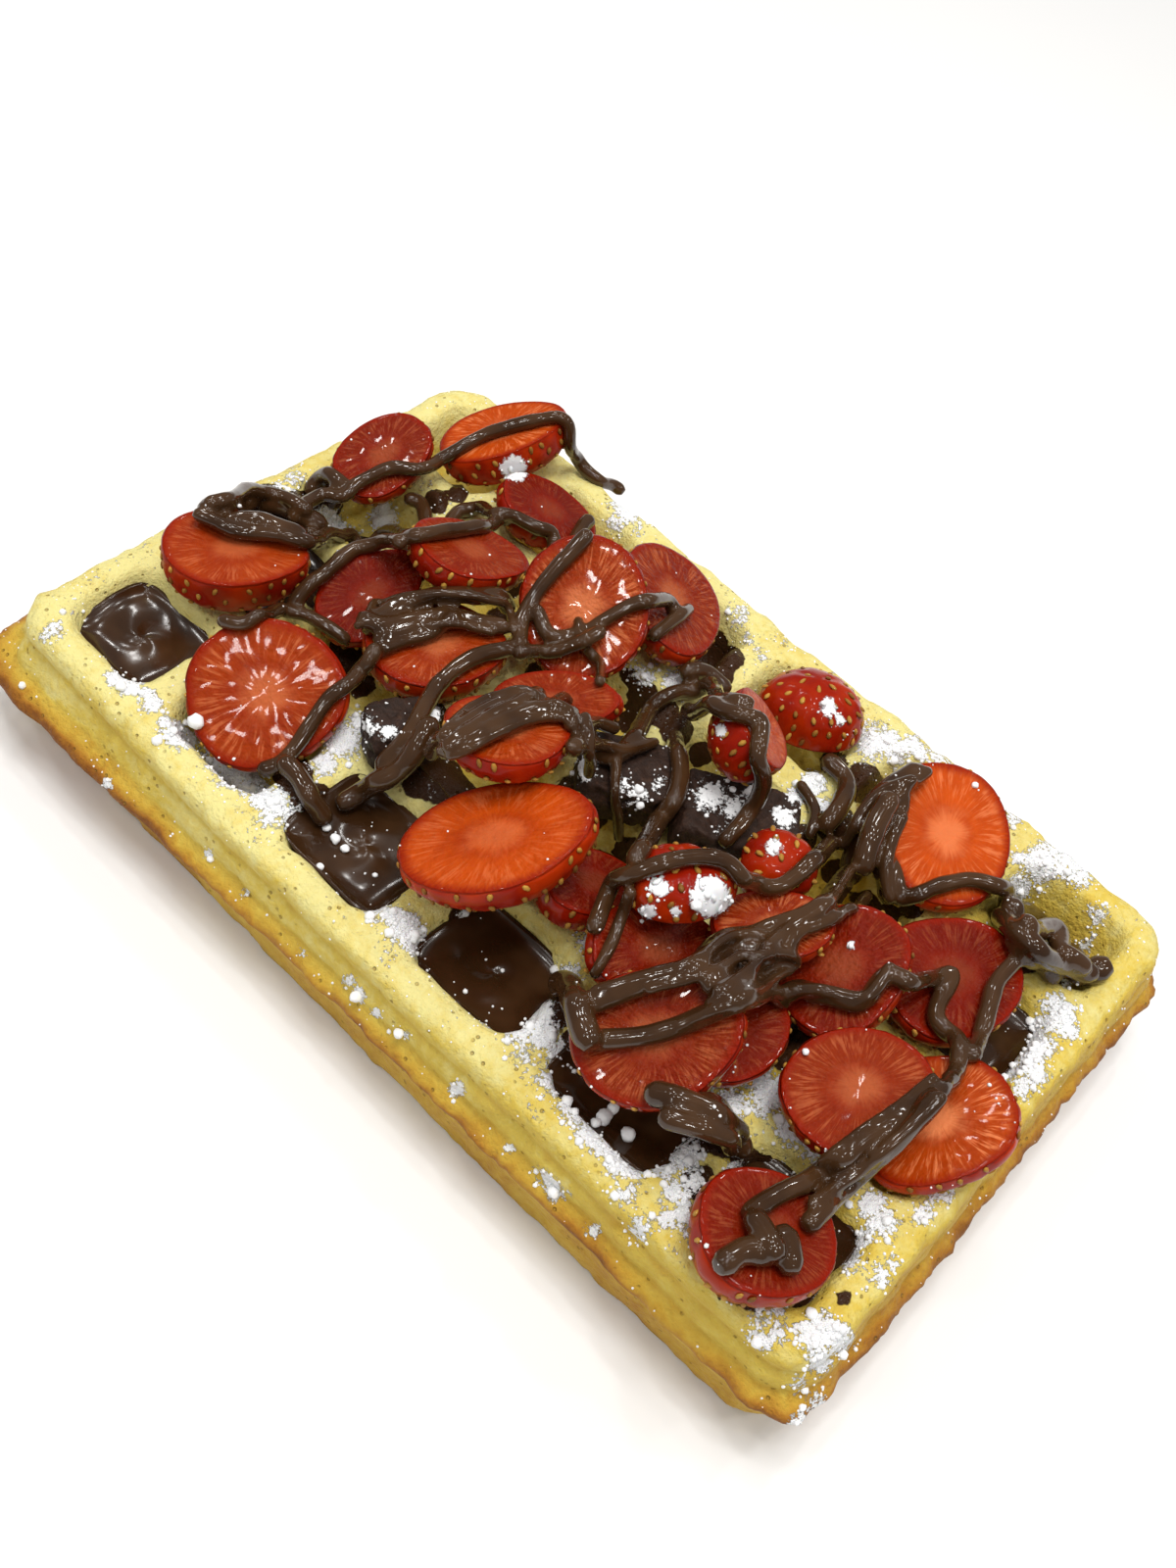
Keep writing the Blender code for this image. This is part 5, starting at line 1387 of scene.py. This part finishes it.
def make_stage(settings):
    paint = Paint("pale_floor")
    soft = paint.noise(6.0, 2.0, 0.5)
    floor_colour = paint.mix(soft, settings.floor, tuple(min(1.0, c * 1.02) for c in settings.floor))
    material = paint.finish(Base_Color=floor_colour, Roughness=0.7)
    corners = [(-4, -4, 0), (4, -4, 0), (4, 4, 0), (-4, 4, 0)]
    floor = mesh_object("floor", corners, [(0, 1, 2, 3)], material, False)
    world = bpy.data.worlds.new("soft_room")
    world.use_nodes = True
    world.node_tree.nodes["Background"].inputs["Color"].default_value = (1.0, 0.985, 0.96, 1.0)
    world.node_tree.nodes["Background"].inputs["Strength"].default_value = settings.room_light
    bpy.context.scene.world = world
    bpy.context.scene.view_settings.view_transform = "Standard"
    power = settings.lamp_power
    ceiling = add_light("ceiling", (0.06, -0.02, 1.0), (0, 0, 0.02), 0.36, 4.6 * power, (1.0, 0.99, 0.97))
    ceiling.visible_glossy = False
    number = 0
    for height, count, turn in ((78, 4, 20), (60, 7, 5), (42, 6, 30)):
        for k in range(count):
            angle = math.radians(turn + 360 * k / count)
            flat = math.cos(math.radians(height))
            place = (flat * math.cos(angle), flat * math.sin(angle), math.sin(math.radians(height)))
            number += 1
            add_light("lamp_%02d" % number, place, (0, 0, 0.02), 0.052, 0.52 * power, (1.0, 0.985, 0.96))
    data = bpy.data.cameras.new("camera")
    data.lens = FOCAL / FRAME_HEIGHT * SENSOR
    data.sensor_width = SENSOR
    data.clip_start = 0.01
    camera = bpy.data.objects.new("camera", data)
    camera.matrix_world = Matrix((
        (RIGHT.x, -DOWN.x, -AHEAD.x, EYE.x), (RIGHT.y, -DOWN.y, -AHEAD.y, EYE.y),
        (RIGHT.z, -DOWN.z, -AHEAD.z, EYE.z), (0, 0, 0, 1),
    ))
    bpy.context.scene.collection.objects.link(camera)
    bpy.context.scene.camera = camera


# Settings, operators and panel


def colour_setting(name, description, default):
    return FloatVectorProperty(
        name=name, description=description, subtype="COLOR", size=3, min=0.0, max=1.0, default=default,
    )


def length_setting(name, description, default, low, high):
    return FloatProperty(
        name=name, description=description, subtype="DISTANCE", unit="LENGTH", default=default, min=low,
        max=high, precision=5,
    )


class CrustSettings(bpy.types.PropertyGroup):
    pale: colour_setting("Pale", "Crust that took no colour", (0.75, 0.67, 0.27))
    yellow: colour_setting("Yellow", "Usual colour of the crust", (0.66, 0.49, 0.082))
    golden: colour_setting("Golden", "Crust along the seam", (0.56, 0.34, 0.042))
    brown: colour_setting("Brown", "Crust at the overfilled corner", (0.40, 0.17, 0.020))
    dark: colour_setting("Dark", "The darkest crust", (0.22, 0.075, 0.012))
    # colour of the cocoa marks: chocolate on the crust, and painted shade in the gaps between the pieces
    chocolate: colour_setting("Chocolate", "Chocolate that ran over the crust", (0.038, 0.015, 0.006))
    top_relief: length_setting("Top relief", "Unevenness of the walls and pockets", 0.42 * MM, 0.0, 0.002)
    side_relief: length_setting("Side relief", "Unevenness of the sides", 0.50 * MM, 0.0, 0.002)


class FruitSettings(bpy.types.PropertyGroup):
    bright_flesh: colour_setting("Bright flesh", "Flesh of the lighter pieces", (0.57, 0.075, 0.004))
    deep_flesh: colour_setting("Deep flesh", "Flesh of the riper pieces", (0.125, 0.006, 0.0015))
    pale_flesh: colour_setting("Pale flesh", "Core and fibres", (0.86, 0.27, 0.10))
    rim_red: colour_setting("Rim", "Narrow band under the skin", (0.24, 0.009, 0.001))
    skin_red: colour_setting("Skin", "Ripe skin", (0.26, 0.008, 0.002))
    skin_light: colour_setting("Light skin", "Less ripe skin", (0.46, 0.032, 0.002))
    seed_gold: colour_setting("Seeds", "Golden seeds", (0.52, 0.27, 0.05))
    seed_brown: colour_setting("Dark seeds", "Brown seeds", (0.15, 0.055, 0.012))


class CakeSettings(bpy.types.PropertyGroup):
    cake: colour_setting("Cake", "Dark cake", (0.030, 0.012, 0.006))
    cake_dark: colour_setting("Cake holes", "Holes of the crumb", (0.010, 0.004, 0.002))
    cake_light: colour_setting("Cake crumbs", "Raised crumbs", (0.075, 0.032, 0.016))
    grain: length_setting("Mesh grain", "Size of the crumb's mesh", 0.45 * MM, 0.0002, 0.002)


class ChocolateSettings(bpy.types.PropertyGroup):
    cocoa: colour_setting("Chocolate", "Poured chocolate", (0.058, 0.026, 0.010))
    # darker tone of the chocolate at random, and the painted shade of the pooled chocolate
    cocoa_dark_and_pool_shade: colour_setting("Dark chocolate", "Deeper chocolate", (0.030, 0.012, 0.004))
    rope_voxel: length_setting("Rope mesh", "Size of the ropes' mesh", 0.38 * MM, 0.0003, 0.002)


class SugarSettings(bpy.types.PropertyGroup):
    lumps: IntProperty(
        name="Lumps", description="Lumps of sugar at a marked place", default=14, min=0, max=60,
    )
    stray: IntProperty(
        name="Stray grains", description="Grains that fell elsewhere", default=2400, min=0, max=4000,
    )


class StageSettings(bpy.types.PropertyGroup):
    floor: colour_setting("Floor", "Pale floor", (0.84, 0.84, 0.84))
    room_light: FloatProperty(
        name="Room light", description="Light from all round", default=0.24, min=0.0, max=5.0,
    )
    lamp_power: FloatProperty(
        name="Lamp power", description="Strength of the lamps", subtype="POWER", unit="POWER", default=1.0,
        min=0.0, max=50.0,
    )


class WaffleSettings(bpy.types.PropertyGroup):
    crust: PointerProperty(name="Crust", description="The baked waffle", type=CrustSettings)
    fruit: PointerProperty(name="Fruit", description="The cut strawberries", type=FruitSettings)
    cake: PointerProperty(name="Cake", description="The cake pieces", type=CakeSettings)
    chocolate: PointerProperty(name="Chocolate", description="Pools and ropes", type=ChocolateSettings)
    sugar: PointerProperty(name="Sugar", description="Icing sugar", type=SugarSettings)
    stage: PointerProperty(name="Stage", description="Floor and light", type=StageSettings)


def laid_pieces(*starts):
    """The scene's own meshes whose names start so."""
    meshes = [o for o in bpy.data.objects if o.type == "MESH" and "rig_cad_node" not in o]
    return [o for o in meshes if o.name.startswith(starts)]


class WAFFLE_OT_crust(bpy.types.Operator):
    """Bake the waffle"""
    bl_idname = "waffle.crust"
    bl_label = "Crust"

    def execute(self, context):
        waffle = make_waffle(context.scene.topped_waffle.crust)
        settle_on(waffle, "waffle", slot="baked_waffle")
        return {"FINISHED"}


class WAFFLE_OT_cake(bpy.types.Operator):
    """Tear the cake pieces"""
    bl_idname = "waffle.cake"
    bl_label = "Cake pieces"

    def execute(self, context):
        settings = context.scene.topped_waffle.cake
        material = cake_material(settings)
        for name in CAKES:
            make_cake(name, material, settings.grain)
        return {"FINISHED"}


class WAFFLE_OT_strawberries(bpy.types.Operator):
    """Cut and lay the strawberry pieces"""
    bl_idname = "waffle.strawberries"
    bl_label = "Strawberries"

    def execute(self, context):
        material = strawberry_material(context.scene.topped_waffle.fruit)
        for order, entry in enumerate(BERRIES):
            make_berry(order, entry, material)
        return {"FINISHED"}


class WAFFLE_OT_chocolate(bpy.types.Operator):
    """Fill the pockets and pour the ropes"""
    bl_idname = "waffle.chocolate"
    bl_label = "Chocolate"

    def execute(self, context):
        settings = context.scene.topped_waffle.chocolate
        # the pooled chocolate is drawn darker than the ropes by a depth of 0.16: painted shade in the pockets
        make_pools(chocolate_material("pooled_chocolate_painted_shade", settings, 0.16, 0.12))
        material = chocolate_material("poured_chocolate", settings, 0.0, 0.05)
        make_ropes(settings, material, laid_pieces("waffle_crust", "cake_", "strawberry_", "chocolate_pools"))
        return {"FINISHED"}


class WAFFLE_OT_sugar(bpy.types.Operator):
    """Sift the icing sugar"""
    bl_idname = "waffle.sugar"
    bl_label = "Icing sugar"

    def execute(self, context):
        things = laid_pieces("waffle_crust", "cake_", "strawberry_", "chocolate_")
        make_sugar(context.scene.topped_waffle.sugar, sugar_material(), things)
        return {"FINISHED"}


class WAFFLE_OT_stage(bpy.types.Operator):
    """Set the floor, the lights and the camera"""
    bl_idname = "waffle.stage"
    bl_label = "Floor, lights and camera"

    def execute(self, context):
        make_stage(context.scene.topped_waffle.stage)
        return {"FINISHED"}


OPERATORS = (
    WAFFLE_OT_crust, WAFFLE_OT_cake, WAFFLE_OT_strawberries, WAFFLE_OT_chocolate, WAFFLE_OT_sugar,
    WAFFLE_OT_stage,
)


class WAFFLE_PT_pieces(bpy.types.Panel):
    """Lists the pieces of the topped waffle"""
    bl_label = "Topped waffle"
    bl_idname = "WAFFLE_PT_pieces"
    bl_space_type = "VIEW_3D"
    bl_region_type = "UI"
    bl_category = "Waffle"

    def draw(self, context):
        for operator in OPERATORS:
            self.layout.operator(operator.bl_idname)
        settings = context.scene.topped_waffle
        for part in ("crust", "fruit", "cake", "chocolate", "sugar", "stage"):
            group = getattr(settings, part)
            box = self.layout.box()
            for name in group.__annotations__:
                box.prop(group, name)


CLASSES = (
    CrustSettings, FruitSettings, CakeSettings, ChocolateSettings, SugarSettings, StageSettings,
    WaffleSettings, *OPERATORS, WAFFLE_PT_pieces,
)


def register():
    for cls in CLASSES:
        bpy.utils.register_class(cls)
    bpy.types.Scene.topped_waffle = PointerProperty(
        name="Topped waffle", description="Sizes and colours", type=WaffleSettings,
    )


def unregister():
    del bpy.types.Scene.topped_waffle
    for cls in reversed(CLASSES):
        bpy.utils.unregister_class(cls)


def main():
    register()
    bpy.ops.waffle.crust()
    bpy.ops.waffle.cake()
    bpy.ops.waffle.strawberries()
    bpy.ops.waffle.chocolate()
    bpy.ops.waffle.sugar()
    bpy.ops.waffle.stage()


if __name__ == "__main__":
    main()
